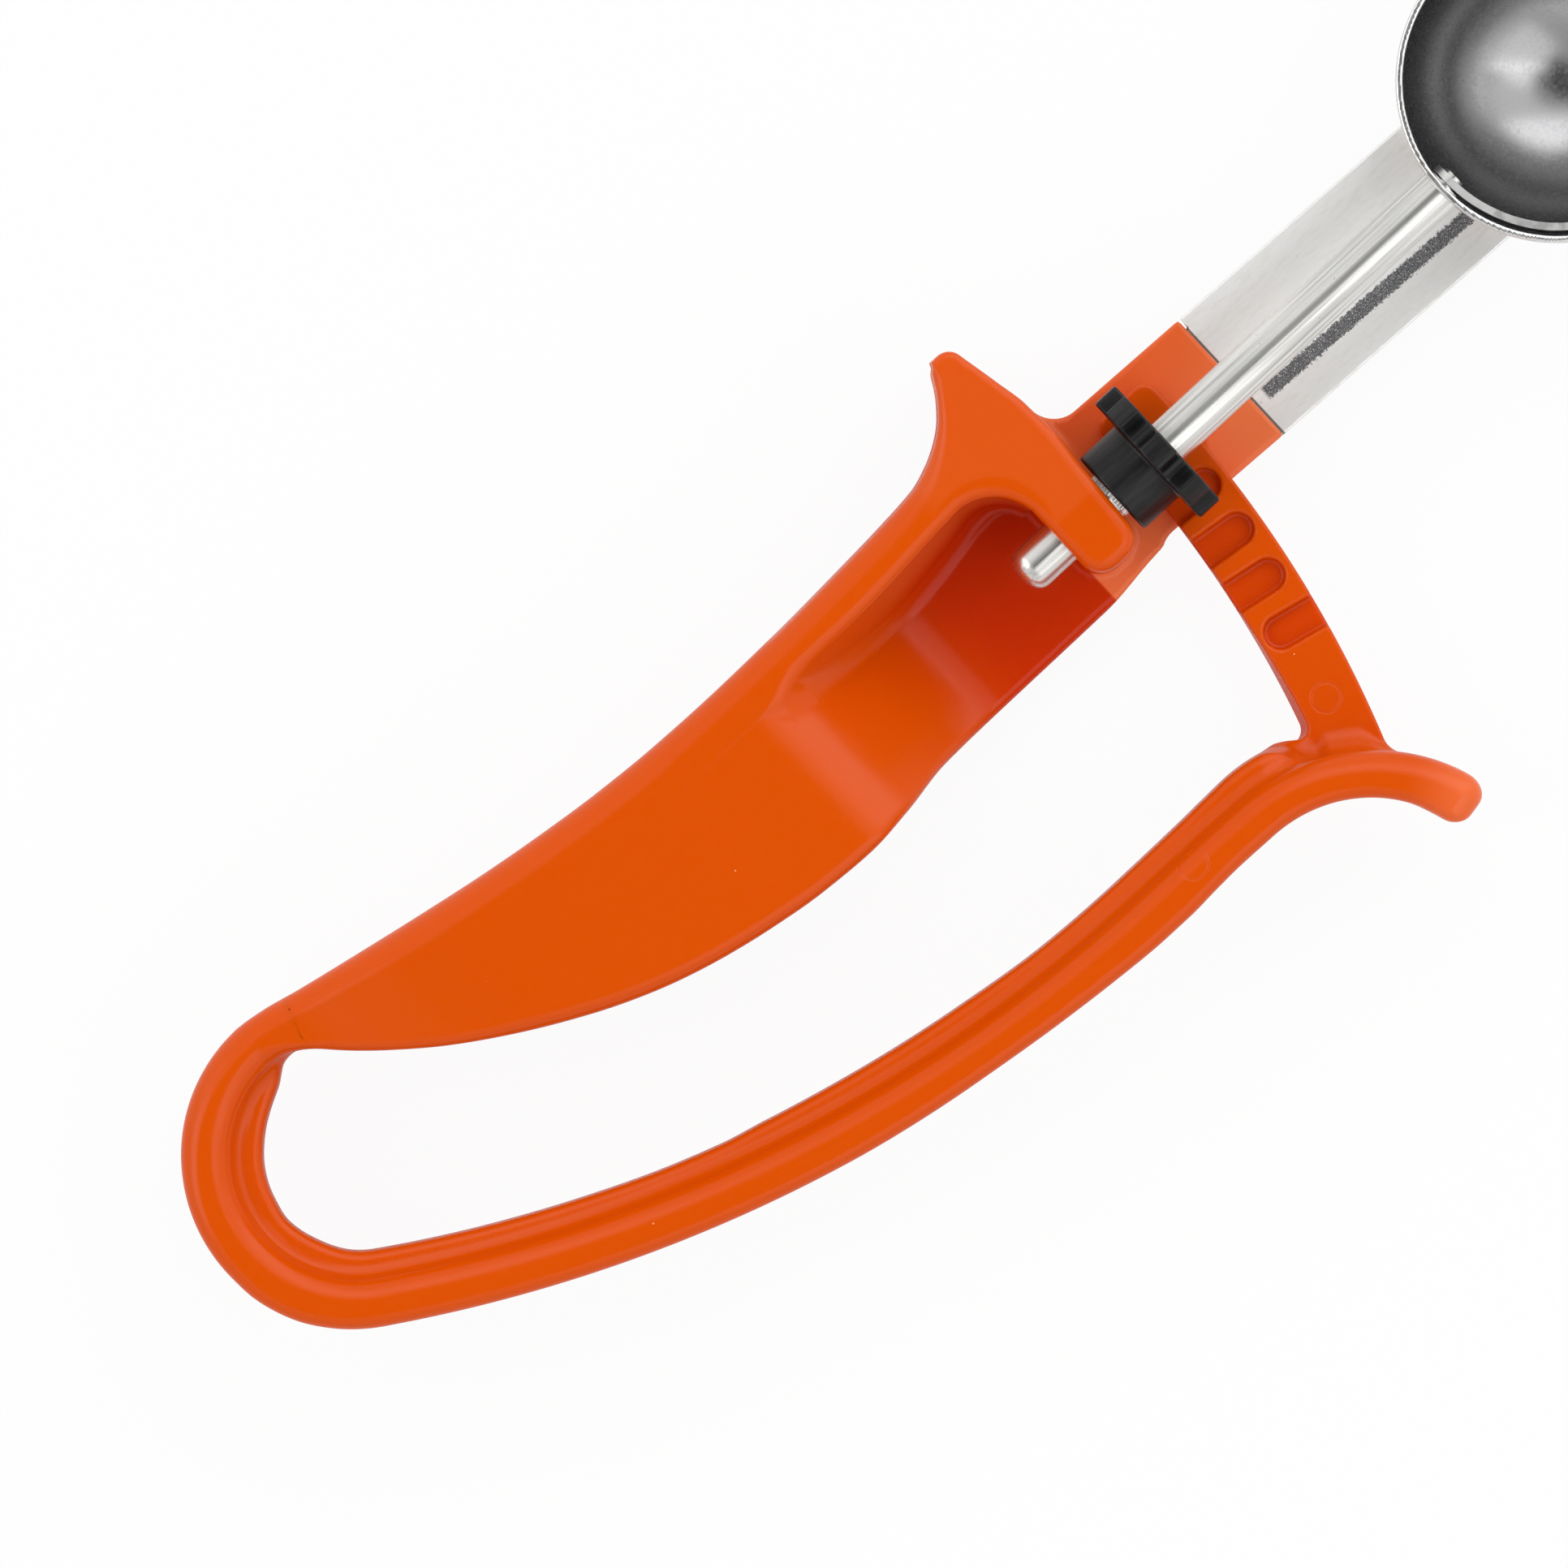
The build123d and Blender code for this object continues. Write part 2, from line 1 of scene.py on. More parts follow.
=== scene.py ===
"""Studio scene of a squeeze-handle portion scoop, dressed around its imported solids.

The solids are fixed. The orange moulding, the pinion and the steel parts get finer skins: surfaces worked
out with numpy in the scoop's own working frame, where the scraper shaft lies along X through the bowl's
centre, the bowl opens to +Z and the palm side is +Y. Sizes in that frame are in millimetres.
"""
from abc import ABC, abstractmethod
from dataclasses import dataclass, field
from enum import Enum
from functools import reduce
from typing import Callable, Optional, Sequence
import logging
import math

import bpy
import numpy as np
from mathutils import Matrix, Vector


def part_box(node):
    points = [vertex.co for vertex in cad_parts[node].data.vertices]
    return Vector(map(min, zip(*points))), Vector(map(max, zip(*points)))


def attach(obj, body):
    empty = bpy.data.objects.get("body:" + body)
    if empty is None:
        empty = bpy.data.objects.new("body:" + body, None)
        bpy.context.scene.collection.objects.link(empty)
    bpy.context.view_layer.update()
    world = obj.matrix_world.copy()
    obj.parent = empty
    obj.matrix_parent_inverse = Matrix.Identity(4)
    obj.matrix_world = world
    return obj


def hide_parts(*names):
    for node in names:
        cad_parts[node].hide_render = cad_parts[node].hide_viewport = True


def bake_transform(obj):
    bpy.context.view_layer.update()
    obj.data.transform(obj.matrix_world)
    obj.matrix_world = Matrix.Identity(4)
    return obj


Array = np.ndarray
Field = Callable[[Array, Array, Array], Array]

LOG = logging.getLogger("scoop")
MM = 0.001
MARK_DEPTH = 0.00002  # metres, the deepest that brushing and rubbing cut
PROBE = 0.05  # millimetres to either side over which a curve's slope is taken
FREE = -9.0  # a distance so far inside that it bounds nothing
FAR = 5.0  # a distance well outside
WHITE = (1.0, 1.0, 1.0, 1.0)

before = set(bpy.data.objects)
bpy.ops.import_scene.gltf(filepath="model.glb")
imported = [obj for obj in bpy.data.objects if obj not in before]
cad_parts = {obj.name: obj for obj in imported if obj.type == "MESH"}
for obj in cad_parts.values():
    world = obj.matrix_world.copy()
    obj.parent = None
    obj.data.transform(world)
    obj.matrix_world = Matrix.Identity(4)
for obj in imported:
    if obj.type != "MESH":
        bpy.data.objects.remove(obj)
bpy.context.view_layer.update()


class Body(Enum):
    """The rigid bodies that pieces ride on."""

    HANDLE = "handle"
    LEVER = "lever"
    SCRAPER = "scraper"


class Slot(Enum):
    """The record's material slots."""

    MOULDING = "moulding"
    PINION = "pinion_plastic"
    SHAFT = "shaft_steel"
    TONGUE = "tongue_steel"
    BOWL = "bowl_steel"


# ---------------------------------------------------------------- frame
@dataclass(frozen=True)
class Datum:
    """The working frame's origin in the row frame: the bowl's centre on the shaft axis, in millimetres."""

    x: float
    y: float
    z: float

    @classmethod
    def from_frame(cls) -> "Datum":
        """Read the origin from the bowl's and the shaft's own boxes.

        Returns:
            The datum, halfway across the bowl along X and halfway through the shaft along Y and Z.
        """
        low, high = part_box("bowl")
        under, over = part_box("drive_shaft")
        return cls((low.x + high.x) / 2 / MM, (under.y + over.y) / 2 / MM, (under.z + over.z) / 2 / MM)

    def to_row(self, points: Array) -> Array:
        """Turn working-frame millimetres into row-frame metres.

        Args:
            points: rows of X, Y and Z.

        Returns:
            The same points in the row frame.
        """
        return (points + np.array([self.x, self.y, self.z])) * MM


# ---------------------------------------------------------------- arithmetic of rounded solids
def either(a: Array, b: Array, radius: float) -> Array:
    """Join two solids with a fillet.

    Args:
        a: distance to the first surface, negative inside.
        b: distance to the second surface.
        radius: fillet radius.

    Returns:
        The joined distance. Near both surfaces it is the radius less the length of the two amounts by
        which the radius exceeds each distance, which is a quarter round; elsewhere it is the smaller one.
    """
    near = np.hypot(np.maximum(radius - a, 0.0), np.maximum(radius - b, 0.0))
    return np.maximum(radius, np.minimum(a, b)) - near


def both(a: Array, b: Array, radius: float) -> Array:
    """Keep what lies in two solids, with the edge between them rounded.

    Args:
        a: distance to the first surface, negative inside.
        b: distance to the second surface.
        radius: radius of the rounded edge.

    Returns:
        The negative of either() on the outsides of the two solids.
    """
    return -either(-a, -b, radius)


def smooth_step(value: Array, start: float, end: float) -> Array:
    """Rise from 0 at start to 1 at end along 3t squared less 2t cubed."""
    t = np.clip((value - start) / (end - start), 0.0, 1.0)
    return t * t * (3.0 - 2.0 * t)


@dataclass(frozen=True)
class Track:
    """A smooth curve through a few stations, flat beyond its ends."""

    stations: tuple[tuple[float, float], ...]

    def at(self, where: Array) -> Array:
        """Read the curve.

        Each span is a cubic that meets its stations with the slope of the line between the stations on
        either side, scaled down where the curve turns back, so that it never overshoots.

        Args:
            where: places along the track.

        Returns:
            Values at those places.
        """
        x, y = np.array(self.stations, float).T
        span = np.diff(x)
        rise = np.diff(y) / span
        middle = np.where(rise[1:] * rise[:-1] > 0, 2 * rise[1:] * rise[:-1] / (rise[1:] + rise[:-1] + 1e-12), 0.0)
        slope = np.concatenate([rise[:1], middle, rise[-1:]])
        where = np.clip(where, x[0], x[-1])
        index = np.clip(np.searchsorted(x, where, side="right") - 1, 0, len(span) - 1)
        t = (where - x[index]) / span[index]
        start = (1 + 2 * t) * (1 - t) ** 2 * y[index] + t * (1 - t) ** 2 * span[index] * slope[index]
        end = t * t * (3 - 2 * t) * y[index + 1] + t * t * (t - 1) * span[index] * slope[index + 1]
        return start + end

    @property
    def first(self) -> float:
        """Value at and before the first station."""
        return self.stations[0][1]

    def beside(self, where: Array, height: Array) -> Array:
        """Signed distance in plan from the curve to a point, positive where the curve is above the point."""
        slope = (self.at(where + PROBE) - self.at(where - PROBE)) / (2 * PROBE)
        return (self.at(where) - height) / np.sqrt(1.0 + slope * slope)


# ---------------------------------------------------------------- meshes
@dataclass
class Surface:
    """Points, four-sided faces and, where they are known exactly, outward normals."""

    points: Array
    quads: Array
    normals: Optional[Array] = None


def surface_net(solid: Field, low: Sequence[float], high: Sequence[float], step: float) -> Surface:
    """Mesh the zero surface of a distance field.

    Every cell of a regular grid that the surface crosses gets one point, the mean of the places where its
    twelve edges change sign. Every grid edge that changes sign gets one face through the four cells round
    it. The points are then moved along the field's slope, by value over slope squared, until they lie on
    the surface, and the slope there is the normal.

    Args:
        solid: distance field, negative inside.
        low: lowest corner of the grid.
        high: highest corner of the grid.
        step: side of a cell.

    Returns:
        The surface, in the field's own frame.
    """
    axes = [np.arange(a, b + step, step) for a, b in zip(low, high)]
    shape = tuple(len(axis) for axis in axes)
    value = np.broadcast_to(solid(*np.meshgrid(*axes, indexing="ij", sparse=True)), shape)
    inside = value < 0
    corners = [(i, j, k) for i in (0, 1) for j in (0, 1) for k in (0, 1)]
    count = sum(
        inside[i : shape[0] - 1 + i, j : shape[1] - 1 + j, k : shape[2] - 1 + k].astype(np.int8)
        for i, j, k in corners
    )
    cells = np.argwhere((count > 0) & (count < 8))
    number = np.full(count.shape, -1, np.int64)
    number[tuple(cells.T)] = np.arange(len(cells))
    total = np.zeros((len(cells), 3))
    hits = np.zeros((len(cells), 1))
    unit = np.eye(3, dtype=int)
    for axis in range(3):
        for corner in (c for c in corners if c[axis] == 0):
            a = value[tuple((cells + corner).T)]
            b = value[tuple((cells + corner + unit[axis]).T)]
            crossed = ((a < 0) != (b < 0))[:, None]
            part = (a / np.where(a == b, 1.0, a - b))[:, None]
            total += np.where(crossed, np.array(corner) + part * unit[axis], 0.0)
            hits += crossed
    points = np.array([axis[0] for axis in axes]) + step * (cells + total / hits)
    quads = []
    for axis in range(3):
        u, v = unit[(axis + 1) % 3], unit[(axis + 2) % 3]
        near = [slice(None)] * 3
        far = [slice(None)] * 3
        near[axis], far[axis] = slice(0, -1), slice(1, None)
        for leaving in (True, False):
            change = (inside[tuple(near)] == leaving) & (inside[tuple(far)] != leaving)
            edges = np.argwhere(change)
            rim = edges[:, [(axis + 1) % 3, (axis + 2) % 3]]
            limit = np.array([count.shape[(axis + 1) % 3], count.shape[(axis + 2) % 3]])
            edges = edges[((rim > 0) & (rim < limit)).all(1)]
            ring = [edges, edges - u, edges - u - v, edges - v]
            ring = ring if leaving else ring[::-1]
            quads.append(np.stack([number[tuple(cell.T)] for cell in ring], 1))
    points, normals = settle(points, solid, step)
    return Surface(points, np.vstack(quads), normals)


def settle(points: Array, solid: Field, step: float, rounds: int = 5, probe: float = 0.02) -> tuple[Array, Array]:
    """Move points onto a field's zero surface and read the normals there.

    Args:
        points: points near the surface.
        solid: distance field.
        step: no point moves further than half of this in one round.
        rounds: number of moves.
        probe: distance between the samples from which the slope is taken.

    Returns:
        The moved points and their unit normals.
    """
    offsets = np.eye(3) * probe
    for _ in range(rounds):
        value = solid(*points.T)
        slope = np.stack([(solid(*(points + o).T) - solid(*(points - o).T)) / (2 * probe) for o in offsets], 1)
        size = np.maximum((slope**2).sum(1), 1e-6)
        move = np.clip(-value / size, -0.5 * step, 0.5 * step)
        points = points + move[:, None] * slope
    normals = slope / np.sqrt(size)[:, None]
    return points, normals


def ring_quads(rows: int, columns: int) -> Array:
    """Index the faces of a grid of points whose rows are closed rings.

    Args:
        rows: number of rings.
        columns: points in each ring.

    Returns:
        Four indices for each face, turning from the ring to the next.
    """
    ring = np.arange(rows - 1)[:, None] * columns
    here = np.arange(columns)[None, :]
    after = (here + 1) % columns
    quads = np.broadcast_arrays(ring + here, ring + after, ring + columns + after, ring + columns + here)
    return np.stack(quads, -1).reshape(-1, 4)


def cap_quads(first: int, columns: int, centre: int) -> Array:
    """Close a ring with a fan of four-sided faces, each on its centre and three neighbours in the ring.

    Args:
        first: index of the ring's first point.
        columns: points in the ring, an even number.
        centre: index of the point at the centre.

    Returns:
        Four indices for each face, turning as the ring does.
    """
    i = np.arange(0, columns, 2)
    return np.stack([np.full(len(i), centre), first + i, first + i + 1, first + (i + 2) % columns], 1)


def build_object(name: str, surface: Surface, datum: Datum) -> bpy.types.Object:
    """Put a surface into a smooth-shaded mesh object that sits at the origin.

    Args:
        name: object name.
        surface: surface in the working frame.
        datum: where the working frame is.

    Returns:
        The linked object.
    """
    mesh = bpy.data.meshes.new(name)
    quads = surface.quads.astype(np.int32)
    mesh.vertices.add(len(surface.points))
    mesh.vertices.foreach_set("co", datum.to_row(surface.points).astype(np.float32).ravel())
    mesh.loops.add(quads.size)
    mesh.loops.foreach_set("vertex_index", quads.ravel())
    mesh.polygons.add(len(quads))
    mesh.polygons.foreach_set("loop_start", np.arange(0, quads.size, 4, dtype=np.int32))
    mesh.polygons.foreach_set("use_smooth", np.ones(len(quads), bool))
    mesh.update(calc_edges=True)
    mesh.validate()
    if surface.normals is not None:
        mesh.normals_split_custom_set_from_vertices(surface.normals.tolist())
    thing = bpy.data.objects.new(name, mesh)
    bpy.context.scene.collection.objects.link(thing)
    return thing


# ---------------------------------------------------------------- shader building
class Nodes:
    """A node tree that is filled by short calls."""

    def __init__(self, tree: bpy.types.NodeTree) -> None:
        """Keep the tree."""
        self.tree = tree

    def feed(self, node: bpy.types.Node, inputs: dict) -> None:
        """Fill or link the inputs of a node, given as values or sockets by input name or number."""
        for key, value in inputs.items():
            if isinstance(value, bpy.types.NodeSocket):
                self.tree.links.new(value, node.inputs[key])
            else:
                node.inputs[key].default_value = value

    def add(self, kind: str, inputs: Optional[dict] = None, **settings: object) -> bpy.types.Node:
        """Add a node, set its properties, and fill or link its inputs.

        Args:
            kind: node type, such as "ShaderNodeMath".
            inputs: values or sockets by input name or number.
            settings: properties of the node.

        Returns:
            The node.
        """
        node = self.tree.nodes.new(kind)
        for key, value in settings.items():
            setattr(node, key, value)
        self.feed(node, inputs or {})
        return node

    def math(self, operation: str, *values: object) -> bpy.types.NodeSocket:
        """Give the result of a maths node on up to three values or sockets."""
        return self.add("ShaderNodeMath", dict(enumerate(values)), operation=operation).outputs[0]

    def product(self, *values: object) -> bpy.types.NodeSocket:
        """Give the product of two or more values or sockets."""
        return reduce(lambda first, second: self.math("MULTIPLY", first, second), values)

    def vector(self, operation: str, place: bpy.types.NodeSocket, other: Sequence[float]) -> bpy.types.Node:
        """Add a vector maths node on a place and a fixed vector."""
        return self.add("ShaderNodeVectorMath", {0: place, 1: tuple(other)}, operation=operation)

    def distance(self, place: bpy.types.NodeSocket, point: Sequence[float]) -> bpy.types.NodeSocket:
        """Give a place's distance from a point whose coordinates are in millimetres."""
        return self.vector("DISTANCE", place, [value * MM for value in point]).outputs["Value"]

    def axes(self, place: bpy.types.NodeSocket) -> bpy.types.bpy_prop_collection:
        """Give the X, Y and Z of a place."""
        return self.add("ShaderNodeSeparateXYZ", {0: place}).outputs

    def noise(self, vector: bpy.types.NodeSocket, scale: float, detail: float = 3.0) -> bpy.types.NodeSocket:
        """Give a noise texture's factor, at so many features a metre."""
        node = self.add("ShaderNodeTexNoise", {"Vector": vector, "Scale": scale, "Detail": detail})
        return node.outputs["Fac"]

    def ramp(self, value: bpy.types.NodeSocket, low: float, high: float) -> bpy.types.NodeSocket:
        """Give 0 at low, 1 at high and a smooth rise between them."""
        inputs = {"Value": value, "From Min": low, "From Max": high}
        return self.add("ShaderNodeMapRange", inputs, interpolation_type="SMOOTHSTEP").outputs[0]

    def border(self, length: bpy.types.NodeSocket, low: float, high: float) -> bpy.types.NodeSocket:
        """Give the ramp of a length in metres between two lengths in millimetres."""
        return self.ramp(length, low * MM, high * MM)

    def span(self, value: bpy.types.NodeSocket, start: float, end: float, low: float = 0.0,
             high: float = 1.0) -> bpy.types.NodeSocket:
        """Give a straight run from start to end while the value goes from low to high."""
        inputs = {"Value": value, "From Min": low, "From Max": high, "To Min": start, "To Max": end}
        return self.add("ShaderNodeMapRange", inputs).outputs[0]

    def mix(self, amount: object, first: object, second: object) -> bpy.types.NodeSocket:
        """Give the mix of two colours; a mix node keeps its colour sockets at 6 and 7, and gives them at 2."""
        return self.add("ShaderNodeMix", {0: amount, 6: first, 7: second}, data_type="RGBA").outputs[2]

    def bump(self, height: bpy.types.NodeSocket, strength: float, distance: float) -> bpy.types.NodeSocket:
        """Give the normal that a height calls for."""
        return self.add("ShaderNodeBump", {"Strength": strength, "Distance": distance, "Height": height}).outputs[0]

    def group(self, name: str, inputs: dict) -> bpy.types.NodeSocket:
        """Place a node group with its own values, and give its mask."""
        return self.add("ShaderNodeGroup", inputs, node_tree=bpy.data.node_groups[name]).outputs["Mask"]

    def place(self) -> bpy.types.NodeSocket:
        """Give object coordinates, in metres."""
        return self.add("ShaderNodeTexCoord").outputs["Object"]

    def working_place(self, datum: Datum) -> bpy.types.NodeSocket:
        """Give object coordinates counted from the bowl's centre."""
        return self.vector("ADD", self.place(), (-datum.x * MM, -datum.y * MM, -datum.z * MM)).outputs[0]


def colour(red: float, green: float, blue: float) -> tuple[float, float, float, float]:
    """Give a linear colour from screen values between 0 and 255."""

    def linear(value: float) -> float:
        """Undo the screen's curve."""
        share = value / 255
        return share / 12.92 if share <= 0.04045 else ((share + 0.055) / 1.055) ** 2.4

    return (linear(red), linear(green), linear(blue), 1.0)


def new_material(name: str) -> tuple[bpy.types.Material, Nodes, bpy.types.Node]:
    """Make a material with a Principled shader.

    Returns:
        The material, its node tree and its shader.
    """
    material = bpy.data.materials.new(name)
    material.use_nodes = True
    return material, Nodes(material.node_tree), material.node_tree.nodes["Principled BSDF"]


# ---------------------------------------------------------------- finishes
def new_group(name: str, inputs: dict[str, str]) -> tuple[Nodes, bpy.types.bpy_prop_collection]:
    """Make an empty node group that puts out a mask.

    Args:
        name: group name.
        inputs: kind of each input by its name, "Vector" or "Float".

    Returns:
        The group's nodes and the sockets that its inputs give.
    """
    tree = bpy.data.node_groups.new(name, "ShaderNodeTree")
    for label, kind in inputs.items():
        tree.interface.new_socket(name=label, in_out="INPUT", socket_type="NodeSocket" + kind)
    tree.interface.new_socket(name="Mask", in_out="OUTPUT", socket_type="NodeSocketFloat")
    nodes = Nodes(tree)
    return nodes, nodes.add("NodeGroupInput").outputs


def speckle_group(dot: float = 0.22) -> None:
    """Make the group that gives scattered small dots, in a given share of the cells of a given scale.

    Args:
        dot: radius of a dot as a share of its cell.
    """
    nodes, given = new_group("specks", {"Vector": "Vector", "Scale": "Float", "Share": "Float"})
    cells = nodes.add("ShaderNodeTexVoronoi", {"Vector": given["Vector"], "Scale": given["Scale"]})
    near = nodes.math("LESS_THAN", cells.outputs["Distance"], dot)
    chance = nodes.add("ShaderNodeSeparateColor", {0: cells.outputs["Color"]}).outputs[0]
    nodes.add("NodeGroupOutput", {"Mask": nodes.product(near, nodes.math("LESS_THAN", chance, given["Share"]))})


def scratch_group(detail: float = 5.0, levels: tuple = (0.35, 0.7)) -> None:
    """Make the group that gives fine marks, drawn out along the axes that its stretch squeezes.

    Args:
        detail: octaves of the noise.
        levels: noise at which a mark begins and is full.
    """
    nodes, given = new_group("scratches", {"Vector": "Vector", "Stretch": "Vector", "Scale": "Float"})
    mapped = nodes.add("ShaderNodeVectorMath", {0: given["Vector"], 1: given["Stretch"]}, operation="MULTIPLY")
    noise = nodes.noise(mapped.outputs[0], given["Scale"], detail)
    nodes.add("NodeGroupOutput", {"Mask": nodes.ramp(noise, *levels)})


@dataclass(frozen=True)
class MouldedOrange:
    """Satin orange plastic, milky where it is thin over the steel tang, with painted light at the flare's tip, a
    painted reflection on the thumb horn and painted shade deep in the recess and pockets.

    Places, lengths and pairs of limits are in millimetres of the working frame. A share is how much of the
    second colour a mask brings in.
    """

    datum: Datum
    body: tuple = colour(217, 80, 0)
    # milky colour of the thin neck over the tang; also used as painted light at the flare's tip and as a painted
    # reflection on the thumb horn
    milky_and_painted_light: tuple = colour(246, 124, 74)
    # painted shade: redder colour low in the recess and on the pockets' walls
    painted_shade: tuple = colour(205, 51, 0)
    speck: tuple = colour(250, 170, 130)
    speck_scale: float = 2300.0
    speck_share: float = 0.0008
    roughness: tuple = (0.15, 0.28)
    roughness_scale: float = 900.0
    neck_start: float = -76.3
    neck_soft: float = 0.2
    neck_levels: tuple = (-10.65, -11.0)
    neck_sides: tuple = (-4.0, 9.0)
    neck_shares: tuple = (1.0, 0.45)
    window: tuple = (-61.55, 0.0, 5.7)
    window_soft: float = 0.5
    window_share: float = 0.35
    # where the painted shade lies, low in the recess and on the pockets' walls
    recess_depth: float = -11.5
    recess_end: tuple = (-103.0, -88.0)
    pocket_tops: tuple = (-7.8, -8.6)
    pocket_floors: tuple = (-10.7, -10.4)
    pocket_run: float = 2.0
    pocket_share: float = 0.5
    # painted light at the flare's tip, and a painted reflection on the thumb horn
    flare_tip: tuple = (-62.0, -53.0, 0.0)
    flare_limits: tuple = (8.5, 1.0)
    flare_share: float = 0.45
    horn_curve: tuple = (-82.0, 5.2, 7.2)
    horn_soft: float = 0.3
    horn_limits: tuple = (("X", -86.0, -83.0), ("Y", 1.2, 2.2), ("Z", 3.0, 4.5))
    horn_share: float = 0.1
    grain_scale: float = 700.0
    grain_height: float = 0.000006
    rings: tuple = ((-66.4, -33.4, 1.7), (-90.3, -36.9, 1.75))
    ring_limits: tuple = (0.04, 0.22)
    ring_height: float = 0.00004
    specular: float = 0.22
    scatter: float = 0.12
    scatter_radius: tuple = (1.0, 0.25, 0.05)
    scatter_scale: float = 0.003

    def milk_and_painted_light_mask(self, nodes: Nodes, axes: object, flat: bpy.types.NodeSocket) -> bpy.types.NodeSocket:
        """Mask the milky neck outside the tang's window, with painted light at the flare's tip and a painted
        reflection on the thumb horn.

        Args:
            nodes: tree that is being filled.
            axes: sockets of X, Y and Z in the working frame.
            flat: the working-frame point with its Z set to nought.

        Returns:
            The share of the milky colour, the painted light and reflection included.
        """
        fore = nodes.border(axes["X"], self.neck_start - self.neck_soft, self.neck_start + self.neck_soft)
        low = nodes.border(axes["Z"], *self.neck_levels)
        x, y, radius = self.window
        reach = nodes.distance(flat, (x, y, 0.0))
        clear = nodes.border(reach, radius - self.window_soft, radius + self.window_soft)
        clear = nodes.math("MAXIMUM", clear, self.window_share)
        side = nodes.span(axes["Y"], *self.neck_shares, *(value * MM for value in self.neck_sides))
        milk = nodes.product(fore, low, clear, side)
        # painted light: the flare's tip lightened as if lit through the plastic
        tip = nodes.border(nodes.distance(flat, self.flare_tip), *self.flare_limits)
        milk = nodes.math("MAXIMUM", milk, nodes.product(tip, self.flare_share))
        # painted reflection: the thumb horn's face lightened as if it mirrored brighter sky
        x, y, radius = self.horn_curve
        reach = nodes.distance(flat, (x, y, 0.0))
        horn = nodes.border(reach, radius - self.horn_soft, radius + self.horn_soft)
        for axis, start, end in self.horn_limits:
            horn = nodes.product(horn, nodes.border(axes[axis], start, end))
        return nodes.math("MAXIMUM", milk, nodes.product(horn, self.horn_share))

    def painted_shade_mask(self, nodes: Nodes, axes: object) -> bpy.types.NodeSocket:
        """Mask the painted shade: low down in the recess, and on the walls of the rack's pockets."""
        behind = nodes.border(axes["X"], self.neck_start + self.neck_soft, self.neck_start - self.neck_soft)
        sunk = nodes.border(axes["Z"], 0.0, self.recess_depth)
        recess = nodes.product(behind, sunk, nodes.border(axes["X"], *self.recess_end))
        pocket = nodes.product(
            nodes.border(axes["Z"], *self.pocket_tops),
            nodes.border(axes["Z"], *self.pocket_floors),
            nodes.border(axes["X"], self.neck_start, self.neck_start + self.pocket_run),
            self.pocket_share,
        )
        return nodes.math("MAXIMUM", recess, pocket)

    def relief(self, nodes: Nodes, place: bpy.types.NodeSocket, flat: bpy.types.NodeSocket) -> bpy.types.NodeSocket:
        """Give the height in metres of the fine grain, with a thin ring left by each ejector pin."""
        height = nodes.product(nodes.noise(place, self.grain_scale, 2.0), self.grain_height)
        for x, y, radius in self.rings:
            off = nodes.math("SUBTRACT", nodes.distance(flat, (x, y, 0.0)), radius * MM)
            line = nodes.border(nodes.math("ABSOLUTE", off), *self.ring_limits)
            height = nodes.math("ADD", height, nodes.product(line, self.ring_height))
        return height

    def build(self) -> bpy.types.Material:
        """Make the material, or give it again once it is made."""
        made = bpy.data.materials.get("moulded_orange")
        if made:
            return made
        material, nodes, shader = new_material("moulded_orange")
        place = nodes.place()
        here = nodes.working_place(self.datum)
        axes = nodes.axes(here)
        flat = nodes.vector("MULTIPLY", here, (1.0, 1.0, 0.0)).outputs[0]
        # milky thin neck, with painted light at the flare's tip and a painted reflection on the thumb horn
        tone = nodes.mix(self.milk_and_painted_light_mask(nodes, axes, flat), self.body, self.milky_and_painted_light)
        # painted shade low in the recess and on the pockets' walls
        tone = nodes.mix(self.painted_shade_mask(nodes, axes), tone, self.painted_shade)
        dots = nodes.group("specks", {"Vector": place, "Scale": self.speck_scale, "Share": self.speck_share})
        nodes.feed(shader, {
            "Base Color": nodes.mix(dots, tone, self.speck),
            "Roughness": nodes.span(nodes.noise(place, self.roughness_scale), *self.roughness),
            "Normal": nodes.bump(self.relief(nodes, place, flat), 1.0, 1.0),
            "Specular IOR Level": self.specular,
            "Subsurface Weight": self.scatter,
            "Subsurface Radius": self.scatter_radius,
            "Subsurface Scale": self.scatter_scale,
        })
        return material


